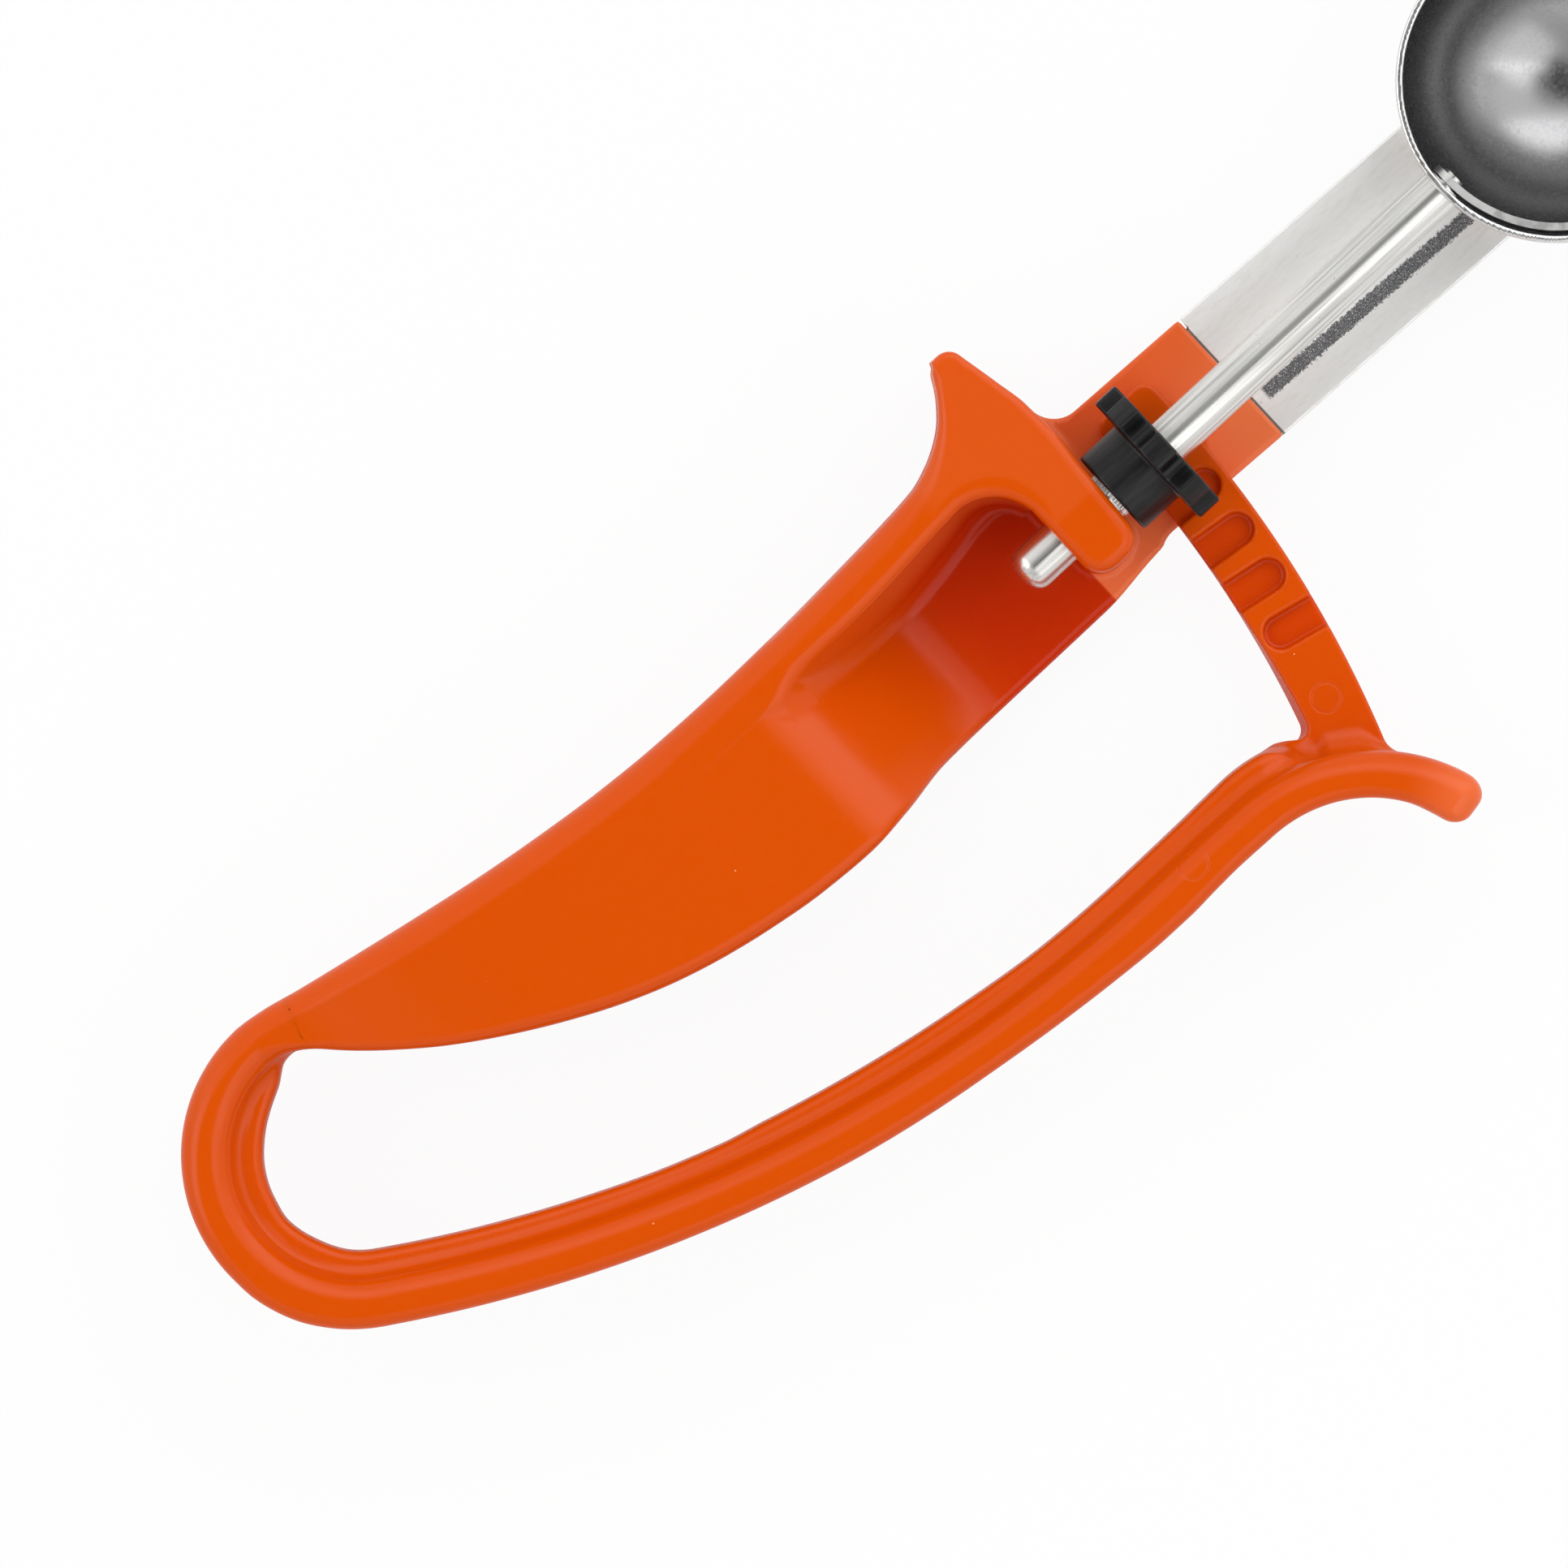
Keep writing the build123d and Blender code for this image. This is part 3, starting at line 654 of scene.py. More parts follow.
@dataclass(frozen=True)
class Steel:
    """Brushed or polished steel with lengthwise marks and small pits.

    Args:
        name: material name.
        tint: colour of the clean metal.
        worn: colour along the marks.
        roughness: lowest and highest roughness.
        stretch: how much the marks are squeezed along each axis.
        scale: fineness of the marks.
        pits: share of the small dots.
        relief: strength of the marks' relief.
        pit_scale: fineness of the dots.
        pit_tone: brightness of a dot beside the clean metal.
    """

    name: str
    tint: tuple
    worn: tuple
    roughness: tuple = (0.2, 0.35)
    stretch: tuple = (0.02, 1.0, 1.0)
    scale: float = 2500.0
    pits: float = 0.01
    relief: float = 0.25
    pit_scale: float = 2600.0
    pit_tone: float = 0.5

    def patch(self, nodes: Nodes, datum: Datum, tone: bpy.types.NodeSocket) -> bpy.types.NodeSocket:
        """Change the colour in places; plain steel changes nothing."""
        return tone

    def build(self, datum: Datum) -> bpy.types.Material:
        """Make the material, or give it again once it is made."""
        made = bpy.data.materials.get(self.name)
        if made:
            return made
        material, nodes, shader = new_material(self.name)
        place = nodes.place()
        marks = nodes.group("scratches", {"Vector": place, "Stretch": self.stretch, "Scale": self.scale})
        dots = nodes.group("specks", {"Vector": place, "Scale": self.pit_scale, "Share": self.pits})
        dark = tuple(value * self.pit_tone for value in self.tint[:3]) + (1.0,)
        tone = nodes.mix(dots, nodes.mix(marks, self.tint, self.worn), dark)
        nodes.feed(shader, {
            "Base Color": self.patch(nodes, datum, tone),
            "Roughness": nodes.span(marks, *self.roughness),
            "Normal": nodes.bump(marks, self.relief, MARK_DEPTH),
            "Metallic": 1.0,
        })
        return material


@dataclass(frozen=True)
class BowlSteel(Steel):
    """Spun steel, bright on the rim and outside, with painted shade darkening it inside the bowl."""

    # painted shade: the colour of the bowl's inside
    inside: tuple = colour(172, 172, 173)
    radii: tuple = (17.65, 17.55)
    levels: tuple = (3.5, 3.4)

    def patch(self, nodes: Nodes, datum: Datum, tone: bpy.types.NodeSocket) -> bpy.types.NodeSocket:
        """Paint shade on what is nearer the centre than the wall's middle and below the rim's face."""
        axes = nodes.axes(nodes.working_place(datum))
        sunk = nodes.math("MINIMUM", axes["Z"], 0.0)
        ball = nodes.add("ShaderNodeCombineXYZ", {"X": axes["X"], "Y": axes["Y"], "Z": sunk}).outputs[0]
        near = nodes.border(nodes.distance(ball, (0.0, 0.0, 0.0)), *self.radii)
        below = nodes.border(axes["Z"], *self.levels)
        return nodes.mix(nodes.product(near, below), tone, self.inside)


@dataclass(frozen=True)
class TongueSteel(Steel):
    """Rolled sheet with a painted reflection, a dark speckled streak along one bend of its channel, and a painted
    shadow line at the neck.

    Places and widths are in millimetres of the working frame, fineness in features a metre.
    """

    # painted reflection: dark speckled streak along one bend of the channel
    painted_reflection: tuple = colour(104, 105, 108)
    streak_middle: float = -4.88
    streak_half: float = 0.85
    streak_soft: float = 0.12
    streak_start: tuple = (-48.2, -47.7)
    slope: float = 0.029
    border_scale: float = 3500.0
    border_sway: float = 1.1
    grain_scale: float = 8000.0
    grain_levels: tuple = (0.22, 0.5)
    # painted shadow: thin dark line in the gap just past the neck
    line: tuple = (0.05, 0.04, 0.03, 1.0)
    line_place: float = -49.48
    line_limits: tuple = (0.22, 0.1)
    line_share: float = 0.8

    def patch(self, nodes: Nodes, datum: Datum, tone: bpy.types.NodeSocket) -> bpy.types.NodeSocket:
        """Paint a dark reflection along the bend, its border broken up by noise, and a painted shadow on the sheet
        just past the neck.
        """
        here = nodes.working_place(datum)
        axes = nodes.axes(here)
        across = nodes.math("ADD", axes["Y"], nodes.product(axes["X"], self.slope))
        off = nodes.math("ABSOLUTE", nodes.math("SUBTRACT", across, self.streak_middle * MM))
        sway = nodes.math("SUBTRACT", nodes.noise(here, self.border_scale, 4.0), 0.5)
        edge = nodes.math("ADD", off, nodes.product(sway, self.border_sway * MM))
        # painted reflection along the bend
        dark = nodes.product(
            nodes.border(edge, self.streak_half + self.streak_soft, self.streak_half - self.streak_soft),
            nodes.ramp(nodes.noise(here, self.grain_scale), *self.grain_levels),
            nodes.border(axes["X"], *self.streak_start),
        )
        # painted shadow just past the neck
        past = nodes.math("ABSOLUTE", nodes.math("SUBTRACT", axes["X"], self.line_place * MM))
        gap = nodes.product(nodes.border(past, *self.line_limits), self.line_share)
        return nodes.mix(gap, nodes.mix(dark, tone, self.painted_reflection), self.line)


@dataclass(frozen=True)
class BlackPlastic:
    """Matte black plastic, rubbed lighter in places."""

    body: tuple = colour(12, 12, 13)
    rubbed: tuple = colour(30, 30, 32)
    roughness: float = 0.36
    specular: float = 0.32
    stretch: tuple = (0.12, 1.0, 1.0)
    scale: float = 1800.0
    relief: float = 0.25

    def build(self) -> bpy.types.Material:
        """Make the material."""
        material, nodes, shader = new_material("moulded_black")
        marks = nodes.group("scratches", {"Vector": nodes.place(), "Stretch": self.stretch, "Scale": self.scale})
        nodes.feed(shader, {
            "Base Color": nodes.mix(marks, self.body, self.rubbed),
            "Normal": nodes.bump(marks, self.relief, MARK_DEPTH),
            "Roughness": self.roughness,
            "Specular IOR Level": self.specular,
        })
        return material


class Finish(Enum):
    """The steel finishes."""

    SHAFT = Steel("steel_shaft", tint=colour(240, 239, 236), worn=colour(196, 195, 191), roughness=(0.24, 0.36),
                  relief=0.14)
    TONGUE = TongueSteel("steel_tongue", tint=colour(253, 253, 252), worn=colour(243, 243, 240),
                         roughness=(0.46, 0.56), stretch=(0.3, 1.0, 1.0), scale=1500.0, pits=0.003, relief=0.06)
    BOWL = BowlSteel("steel_bowl", tint=colour(240, 240, 239), worn=colour(230, 230, 228), roughness=(0.22, 0.28),
                     stretch=(1.0, 1.0, 1.0), scale=2200.0, pits=0.012, relief=0.006)
    BLADE = Steel("steel_blade", tint=colour(244, 244, 243), worn=colour(222, 222, 220), roughness=(0.3, 0.42),
                  stretch=(1.0, 1.0, 1.0), scale=900.0, relief=0.0)


# ---------------------------------------------------------------- sub-assemblies
@dataclass
class Assembly(ABC):
    """A sub-assembly that builds its own pieces around the solids."""

    datum: Datum

    @abstractmethod
    def build(self) -> list[bpy.types.Object]:
        """Make the pieces."""


def add_piece(name: str, surface: Surface, datum: Datum, material: bpy.types.Material,
              nodes: Sequence[str]) -> bpy.types.Object:
    """Make a dressed piece that stands for some nodes.

    Args:
        name: object name.
        surface: surface in the working frame.
        datum: where the working frame is.
        material: finish.
        nodes: names of the nodes that the piece replaces.

    Returns:
        The object, not yet riding on a body.
    """
    piece = build_object(name, surface, datum)
    piece.data.materials.append(material)
    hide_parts(*nodes)
    return piece


@dataclass(frozen=True)
class LeverPath:
    """Outer edge of tail loop, lever and finger flare: three arcs and a straight run, each tangent to the next."""

    loop: tuple = (-182.0, 3.3)
    loop_radius: float = 19.8
    start: float = 45.0
    leave: float = 237.6
    curve: tuple = (-97.5, 136.45)
    curve_radius: float = 177.5
    curve_end: float = 270.0
    flare: tuple = (-81.64, -57.75)
    flare_radius: float = 16.7

    def marks(self) -> tuple[float, float, float]:
        """Lengths at which the loop, the long curve and the straight run end."""
        loop = math.radians(self.leave - self.start) * self.loop_radius
        curve = loop + math.radians(self.curve_end - self.leave) * self.curve_radius
        return loop, curve, curve + self.flare[0] - self.curve[0]

    def at(self, x: Array, y: Array) -> tuple[Array, Array]:
        """Measure a point along and across the path.

        On an arc the length is radius times turn and the width is radius less distance from the centre; on
        the flare, which bends the other way, the width is distance less radius.

        Args:
            x: X of the points.
            y: Y of the points.

        Returns:
            Length along the outer edge, and distance inwards from it.
        """
        loop_end, curve_end, straight_end = self.marks()
        lx, ly = x - self.loop[0], y - self.loop[1]
        turn = np.degrees(np.arctan2(ly, lx)) % 360
        on_loop = (turn >= self.start) & (turn <= self.leave)
        cx, cy = x - self.curve[0], y - self.curve[1]
        along = loop_end + (np.arctan2(cx, -cy) + math.radians(self.curve_end - self.leave)) * self.curve_radius
        across = self.curve_radius - np.hypot(cx, cy)
        straight = (cx >= 0) & (y < 0)
        along = np.where(straight, curve_end + cx, along)
        across = np.where(straight, y - (self.curve[1] - self.curve_radius), across)
        fx, fy = x - self.flare[0], y - self.flare[1]
        bent = (fx >= 0) & (y < 0)
        along = np.where(bent, straight_end + np.arctan2(fx, fy) * self.flare_radius, along)
        across = np.where(bent, np.hypot(fx, fy) - self.flare_radius, across)
        along = np.where(on_loop, np.radians(turn - self.start) * self.loop_radius, along)
        across = np.where(on_loop, self.loop_radius - np.hypot(lx, ly), across)
        return along, across


@dataclass(frozen=True)
class Lever:
    """Cross-section of loop and lever: a full bead outside, a thinner web with a rim inside."""

    path: LeverPath = LeverPath()
    middle: float = -4.5
    bead_half: float = 7.5
    bead_width: Track = Track(((0.0, 5.85), (176.0, 5.85), (190.0, 5.55), (202.0, 5.62), (206.0, 5.55)))
    bead_round: float = 2.8
    outer_inset: Track = Track(
        ((5.0, 0.1), (14.0, 0.22), (20.0, 0.15), (26.0, 0.06), (31.0, 0.02), (44.0, 0.012), (47.5, 0.012),
         (51.0, -0.12), (56.0, -0.14), (60.0, -0.02), (68.0, 0.14), (84.0, 0.15), (123.0, 0.19), (134.0, 0.34),
         (143.0, 0.47), (152.0, 0.38), (159.0, 0.21), (166.0, 0.0), (170.0, -0.01), (174.0, 0.2), (178.0, 0.34),
         (184.0, 0.26), (190.0, 0.26), (194.0, 0.22), (199.0, 0.12), (202.5, -0.17), (206.0, -0.3))
    )
    outer_round: Track = Track(((15.5, 3.0), (30.0, 2.3), (41.0, 1.8), (55.0, 1.45), (200.0, 1.35)))
    web_edge: Track = Track(
        ((9.0, 3.5), (12.5, 5.9), (14.0, 6.5), (15.4, 7.3), (17.5, 8.15), (20.0, 8.62), (24.0, 9.05), (30.4, 9.35),
         (36.0, 9.38), (41.8, 9.36), (47.0, 9.15), (50.0, 9.2), (54.0, 9.27), (63.0, 9.0), (92.0, 8.71),
         (104.0, 8.55), (110.0, 8.56), (116.0, 8.8), (126.0, 8.86), (142.0, 8.8), (155.0, 8.56), (168.0, 8.6),
         (176.0, 8.67), (180.0, 8.78), (184.0, 8.86), (187.0, 8.75), (189.5, 8.45), (192.0, 8.2))
    )
    web_half: float = 3.95
    web_start: float = 2.5
    web_round: float = 1.1
    web_draft: float = 0.05
    rim_rise: float = 0.3
    rim_run: tuple = (3.3, 2.0)
    web_end: float = 188.0
    web_slope: float = 0.22
    web_spread: float = 1.1
    web_end_round: float = 2.4
    valley_fillet: float = 1.7
    end_turn: float = 79.0
    end_round: float = 2.2

    def length(self) -> float:
        """Length of the outer edge, up to the end of the flare."""
        return self.path.marks()[2] + math.radians(self.end_turn) * self.path.flare_radius

    def bead(self, x: Array, y: Array, z: Array) -> Array:
        """Distance field of the bead, its inner side rounded far more than its outer side."""
        along, across = self.path.at(x, y)
        slab = np.abs(z - self.middle) - self.bead_half
        inner = both(across - self.bead_width.at(along), slab, self.bead_round)
        outer = both(self.outer_inset.at(along) - across, slab, self.outer_round.at(along))
        return both(np.maximum(inner, outer), along - self.length(), self.end_round)

    def web(self, x: Array, y: Array, z: Array) -> Array:
        """Distance field of the web.

        Its half thickness steps up by a smooth rise to the rim, the rim's side leans, and its far end leans
        too. Lengths there are taken on the outer edge and spread by a little to suit the web.
        """
        along, across = self.path.at(x, y)
        height = np.abs(z - self.middle)
        edge = self.web_edge.at(along)
        start, end = self.rim_run
        half = self.web_half + self.rim_rise * smooth_step(across, edge - start, edge - end)
        solid = both(across - edge + self.web_draft * height, height - half, self.web_round)
        solid = np.maximum(solid, self.web_start - across)
        last = self.web_end + self.web_slope * (self.web_half + self.middle - z)
        return both(solid, (along - last) * self.web_spread, self.web_end_round)

    def solid(self, x: Array, y: Array, z: Array) -> Array:
        """Distance field of bead and web together."""
        return either(self.bead(x, y, z), self.web(x, y, z), self.valley_fillet)


@dataclass(frozen=True)
class Handle:
    """Palm grip, recess, guard, thumb horn and neck as one solid that runs into the tail loop."""

    lever: Lever = Lever()
    finger_side: Track = Track(
        ((-187.0, 25.7), (-182.0, 20.4), (-178.5, 16.6), (-174.0, 11.9), (-170.0, 8.4), (-166.0, 5.3), (-160.0, 1.4),
         (-154.0, -1.95), (-148.0, -4.8), (-142.0, -7.05), (-136.0, -8.7), (-130.0, -9.9), (-123.0, -10.85),
         (-116.0, -11.2), (-110.0, -10.65), (-103.0, -9.6), (-97.0, -9.45), (-78.0, -9.35), (-70.0, -8.5),
         (-62.0, -7.95), (-48.0, -8.35))
    )
    palm_side: Track = Track(
        ((-186.0, 22.6), (-182.0, 22.85), (-179.0, 22.5), (-174.0, 21.38), (-166.0, 19.76), (-158.0, 18.22),
         (-150.0, 16.8), (-142.0, 15.65), (-134.0, 14.77), (-126.0, 14.27), (-118.0, 14.12), (-108.0, 14.27),
         (-98.0, 14.72), (-90.0, 15.2), (-85.0, 15.7), (-82.0, 16.65), (-80.0, 17.65), (-78.0, 19.05), (-76.4, 20.75),
         (-75.0, 22.8), (-74.2, 24.6), (-73.7, 26.5))
    )
    front: Track = Track(((-182.0, 3.0), (-176.0, 3.5), (-170.0, 4.4), (-163.0, 5.3), (-154.0, 5.9), (-146.0, 6.0)))
    back: Track = Track(
        ((-182.0, -12.0), (-176.0, -12.6), (-170.0, -13.6), (-163.0, -14.6), (-154.0, -15.2), (-146.0, -15.3))
    )
    palm_round: Track = Track(
        ((-182.0, 2.7), (-172.0, 3.1), (-160.0, 3.6), (-148.0, 3.5), (-100.0, 3.4), (-90.0, 3.4), (-84.0, 3.0),
         (-80.0, 2.2), (-76.5, 1.4), (-73.0, 0.9))
    )
    finger_round: Track = Track(((-186.0, 3.0), (-182.0, 2.4), (-177.0, 1.0), (-170.0, 1.0), (-156.0, 1.6)))
    plan_round: float = 0.5
    wall_front: Track = Track(
        ((-10.0, -69.8), (-6.4, -69.6), (4.0, -69.0), (10.0, -68.6), (14.0, -68.7), (18.0, -69.4), (23.0, -70.4),
         (27.0, -71.2))
    )
    gap_line: tuple = (0.31, 0.95, -53.0)
    crotch: float = 1.5
    crotch_plan: tuple = (-200.0, 12.0)
    crotch_corner: tuple = (-187.0, 8.0)
    horn_top: float = 24.93
    horn_round: float = 1.6
    wall_back: float = -76.5
    wall_foot: float = -6.4
    wall_round: float = 2.8
    foot_end: float = 5.0
    front_round: Track = Track(((-7.0, 1.8), (0.0, 1.5), (12.0, 1.3), (20.0, 0.9)))
    neck_end: float = -49.6
    neck_top: float = -11.3
    neck_half: float = 8.8
    neck_side: float = -0.93
    neck_slope: float = -0.029
    neck_fillet: float = 3.4
    neck_round: float = 0.25
    recess_edge: Track = Track(
        ((-113.5, 8.7), (-110.0, 9.25), (-106.0, 9.5), (-100.0, 9.45), (-95.0, 9.65), (-90.0, 10.05),
         (-85.5, 10.4), (-82.0, 10.6))
    )
    recess_run: Track = Track(
        ((-112.0, 2.7), (-108.0, 2.5), (-104.0, 2.7), (-100.0, 2.9), (-95.0, 3.0), (-90.0, 2.8), (-85.0, 2.3),
         (-80.0, 1.4))
    )
    recess_drop: float = 1.4
    recess_corner: float = 6.5
    floor_end: float = -97.0
    ramp_end: float = -112.5
    bend: float = 4.5
    fillets: tuple = (0.8, 2.0)
    fillet_run: tuple = (-78.0, -82.0)
    fillet_limits: tuple = (0.5, 0.2)
    edge_limits: tuple = (0.3, 0.1, 1.3)
    lips: tuple = (0.5, 1.1)
    lip_run: tuple = (-75.0, -79.0)
    scoop_round: float = 0.5
    plain_run: tuple = (-120.0, -130.0)
    bore: float = 2.76
    bore_end: float = -88.0
    bore_rounds: tuple = (0.3, 0.25)
    front_height: float = 6.0
    seam_turn: float = 72.0
    seam_reach: tuple = (-2.0, 8.0)
    overlap: float = 1.4
    sink: float = 0.35
    web_reach: float = -170.0

    def floor(self, x: Array) -> Array:
        """Height of the recess floor: flat, then a ramp up to the front, bent along a parabola at both ends."""
        lean = (self.front_height - self.neck_top) / (self.floor_end - self.ramp_end)
        ramp = self.neck_top + lean * (self.floor_end - x)
        bent = np.maximum(self.bend - np.abs(ramp - self.neck_top), 0) ** 2 / (4 * self.bend)
        foot = np.maximum(ramp, self.neck_top) + bent
        crest = np.maximum(self.bend - np.abs(foot - self.front_height), 0) ** 2 / (4 * self.bend)
        return np.minimum(foot, self.front_height) - crest

    def on_grip(self, x: Array, y: Array) -> Array:
        """Whether a point lies on the grip's side of the slanting gap between grip and lever."""
        across, up, line = self.gap_line
        return (across * x + up * y > line) & (x > self.lever.path.loop[0])

    def outline(self, x: Array, y: Array) -> tuple[Array, Array]:
        """Signed distances in plan to the palm side and to the finger side.

        The palm side is a track, and past the loop's centre the loop's outer arc. The finger side is a track
        joined to the bead's inner side by the crotch fillet.
        """
        along, across = self.lever.path.at(x, y)
        here = self.on_grip(x, y)
        palm = np.where(here, -self.palm_side.beside(x, y), self.lever.outer_inset.at(along) - across)
        bead = across - self.lever.bead_width.at(along)
        inner = either(bead, self.finger_side.beside(x, y), self.crotch)
        left, low = self.crotch_plan
        finger = np.where(here | (x > left) & (y > low), inner, bead)
        return palm, finger

    def plan(self, x: Array, y: Array, palm: Array, here: Array) -> tuple[Array, Array]:
        """Signed distances in plan to the guard with its horn, and to guard and neck together.

        Args:
            x: X of the points.
            y: Y of the points.
            palm: distance to the palm side.
            here: whether a point is on the grip.

        Returns:
            The palm side cut off by the guard's front and the horn's top, without and with the neck.
        """
        ahead = np.where(here, x - self.wall_front.at(y), FREE)
        horn = both(np.maximum(palm, ahead), np.where(here, y - self.horn_top, FREE), self.horn_round)
        middle = self.neck_side + self.neck_slope * x
        neck = both(np.abs(y - middle) - self.neck_half, x - self.neck_end, self.neck_round)
        return horn, np.where(here, either(neck, horn, self.neck_fillet), horn)

    def core(self, x: Array, y: Array, z: Array, horn: Array) -> Array:
        """Distance field of what stands inside the outline, with the recess left out.

        Upright parts, which are the palm ridge and the guard wall with a round corner between them, stand on
        a base whose top is the recess floor. The ridge's side leans outwards by its run over its drop. Edges
        and fillets shrink with the drop, so that they vanish where the floor comes up to the front.

        Args:
            x: X of the points.
            y: Y of the points.
            z: Z of the points.
            horn: distance in plan to the guard with its horn.

        Returns:
            Uprights and base joined by the fillet at the foot.
        """
        floor = self.floor(x)
        drop = self.front_height - floor
        top = z - self.front_height
        wall = both(self.wall_back - x, self.wall_foot - y, self.wall_round)
        lean = self.recess_run.at(x) / np.maximum(drop, self.recess_drop)
        side = (self.recess_edge.at(x) + lean * top - y) / np.sqrt(1.0 + lean * lean)
        share, least, most = self.edge_limits
        front_round = self.front_round.at(y)
        foot = np.where(y < self.foot_end, both(wall, horn, self.wall_round), FREE)
        upright = both(either(wall, side, self.recess_corner), top, np.clip(share * drop, least, most))
        upright = np.maximum(upright, both(horn, top, front_round))
        upright = np.maximum(upright, both(foot, top, front_round))
        climb = (self.floor(x + PROBE) - self.floor(x - PROBE)) / (2 * PROBE)
        base = (z - floor) / np.sqrt(1.0 + climb * climb)
        least, most = self.fillets
        fillet = least + (most - least) * smooth_step(x, *self.fillet_run)
        share, least = self.fillet_limits
        return either(upright, base, np.minimum(fillet, np.maximum(share * drop, least)))

    def solid(self, x: Array, y: Array, z: Array) -> Array:
        """Distance field of the handle, of the tail loop and of the lever.

        The outline stands between the front and back faces, with each side's edge rounded by its own radius.
        Between the guard and the plain stretch of the grip, only what the core leaves of it stays. The
        shaft's bore is taken out, and the web is joined on past the grip.
        """
        palm, finger = self.outline(x, y)
        here = self.on_grip(x, y)
        along, _ = self.lever.path.at(x, y)
        horn, plan = self.plan(x, y, palm, here)
        fore = np.where(here, self.front.at(x), self.front.first)
        aft = np.where(here, self.back.at(x), self.back.first)
        face = np.maximum(z - fore, aft - z)
        palm_round = np.where(here, self.palm_round.at(x), self.lever.outer_round.at(along))
        finger_round = np.where(here, self.finger_round.at(x), self.lever.bead_round)
        sides = np.maximum(both(np.where(x < self.wall_back, palm, plan), face, palm_round),
                           both(finger, face, finger_round))
        sides = np.maximum(sides, both(plan, face, self.plan_round))
        core = self.core(x, y, z, horn)
        least, most = self.lips
        lip = least + (most - least) * smooth_step(x, *self.lip_run)
        scooped = np.maximum(both(core, finger, lip), both(core, sides, self.scoop_round))
        end_round, mouth_round = self.bore_rounds
        hole = both(np.hypot(y, z) - self.bore, self.bore_end - x, end_round)
        scooped = both(scooped, -hole, mouth_round)
        plain = smooth_step(x, *self.plain_run)
        body = np.where(here & (x > self.plain_run[1]), scooped + (sides - scooped) * plain, sides)
        end = both(body, np.where(here, FREE, along - self.lever.length()), self.lever.end_round)
        left, low = self.crotch_corner
        fillet = np.where((y > low) & (x > left), self.crotch, self.lever.valley_fillet)
        webbed = either(end, self.lever.web(x, y, z), fillet)
        return np.where(here & (x > self.web_reach), body, webbed)

    def past_seam(self, x: Array, y: Array) -> Array:
        """Distance of a point past the ray at which the grip's skin hands over to the loop's, grip side positive."""
        turn = math.radians(self.seam_turn)
        left, low = self.lever.path.loop
        return (x - left) * math.sin(turn) - (y - low) * math.cos(turn)

    def sunk(self, x: Array, y: Array, z: Array, past: Array) -> Array:
        """The solid, sinking below the other skin over the overlap past the seam, and cut off at its end."""
        field = self.solid(x, y, z) + self.sink * smooth_step(past, 0.0, self.overlap) ** 2
        return np.maximum(field, past - self.overlap)

    def grip_half(self, x: Array, y: Array, z: Array) -> Array:
        """The grip's share of the solid."""
        past = -self.past_seam(x, y)
        reach, low = self.seam_reach
        return np.where(self.on_grip(x, y) | (past > reach) & (y > low), self.sunk(x, y, z, past), FAR)

    def loop_half(self, x: Array, y: Array, z: Array) -> Array:
        """The loop's and lever's share of the solid."""
        return np.where(self.on_grip(x, y), self.sunk(x, y, z, self.past_seam(x, y)), self.solid(x, y, z))


@dataclass
class MouldedBody(Assembly):
    """The orange moulding apart from its rack arm: a rigid handle, and a loop and lever."""

    handle: Handle = field(default_factory=Handle)
    grip_box: tuple = ((-184.0, -13.0, -17.0), (-47.5, 27.0, 8.0))
    grip_step: float = 0.45
    loop_box: tuple = ((-203.5, -56.5, -13.5), (-58.5, 25.0, 4.5))
    loop_step: float = 0.4
    bend_start: tuple = (-190.0, 13.0, 0.0)
    bend_end: tuple = (-190.0, -9.0, 0.0)

    def build(self) -> list[bpy.types.Object]:
        """Make both skins."""
        material = MouldedOrange(self.datum).build()
        grip = surface_net(self.handle.grip_half, *self.grip_box, self.grip_step)
        loop = surface_net(self.handle.loop_half, *self.loop_box, self.loop_step)
        fixed = add_piece("moulded_handle", grip, self.datum, material, ("palm_grip", "guard"))
        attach(fixed, Body.HANDLE.value)
        bent = add_piece("moulded_lever", loop, self.datum, material, ("tail_loop", "squeeze_lever"))
        start, end = self.datum.to_row(np.array([self.bend_start, self.bend_end]))
        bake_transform(bent)
        return [fixed, bent]


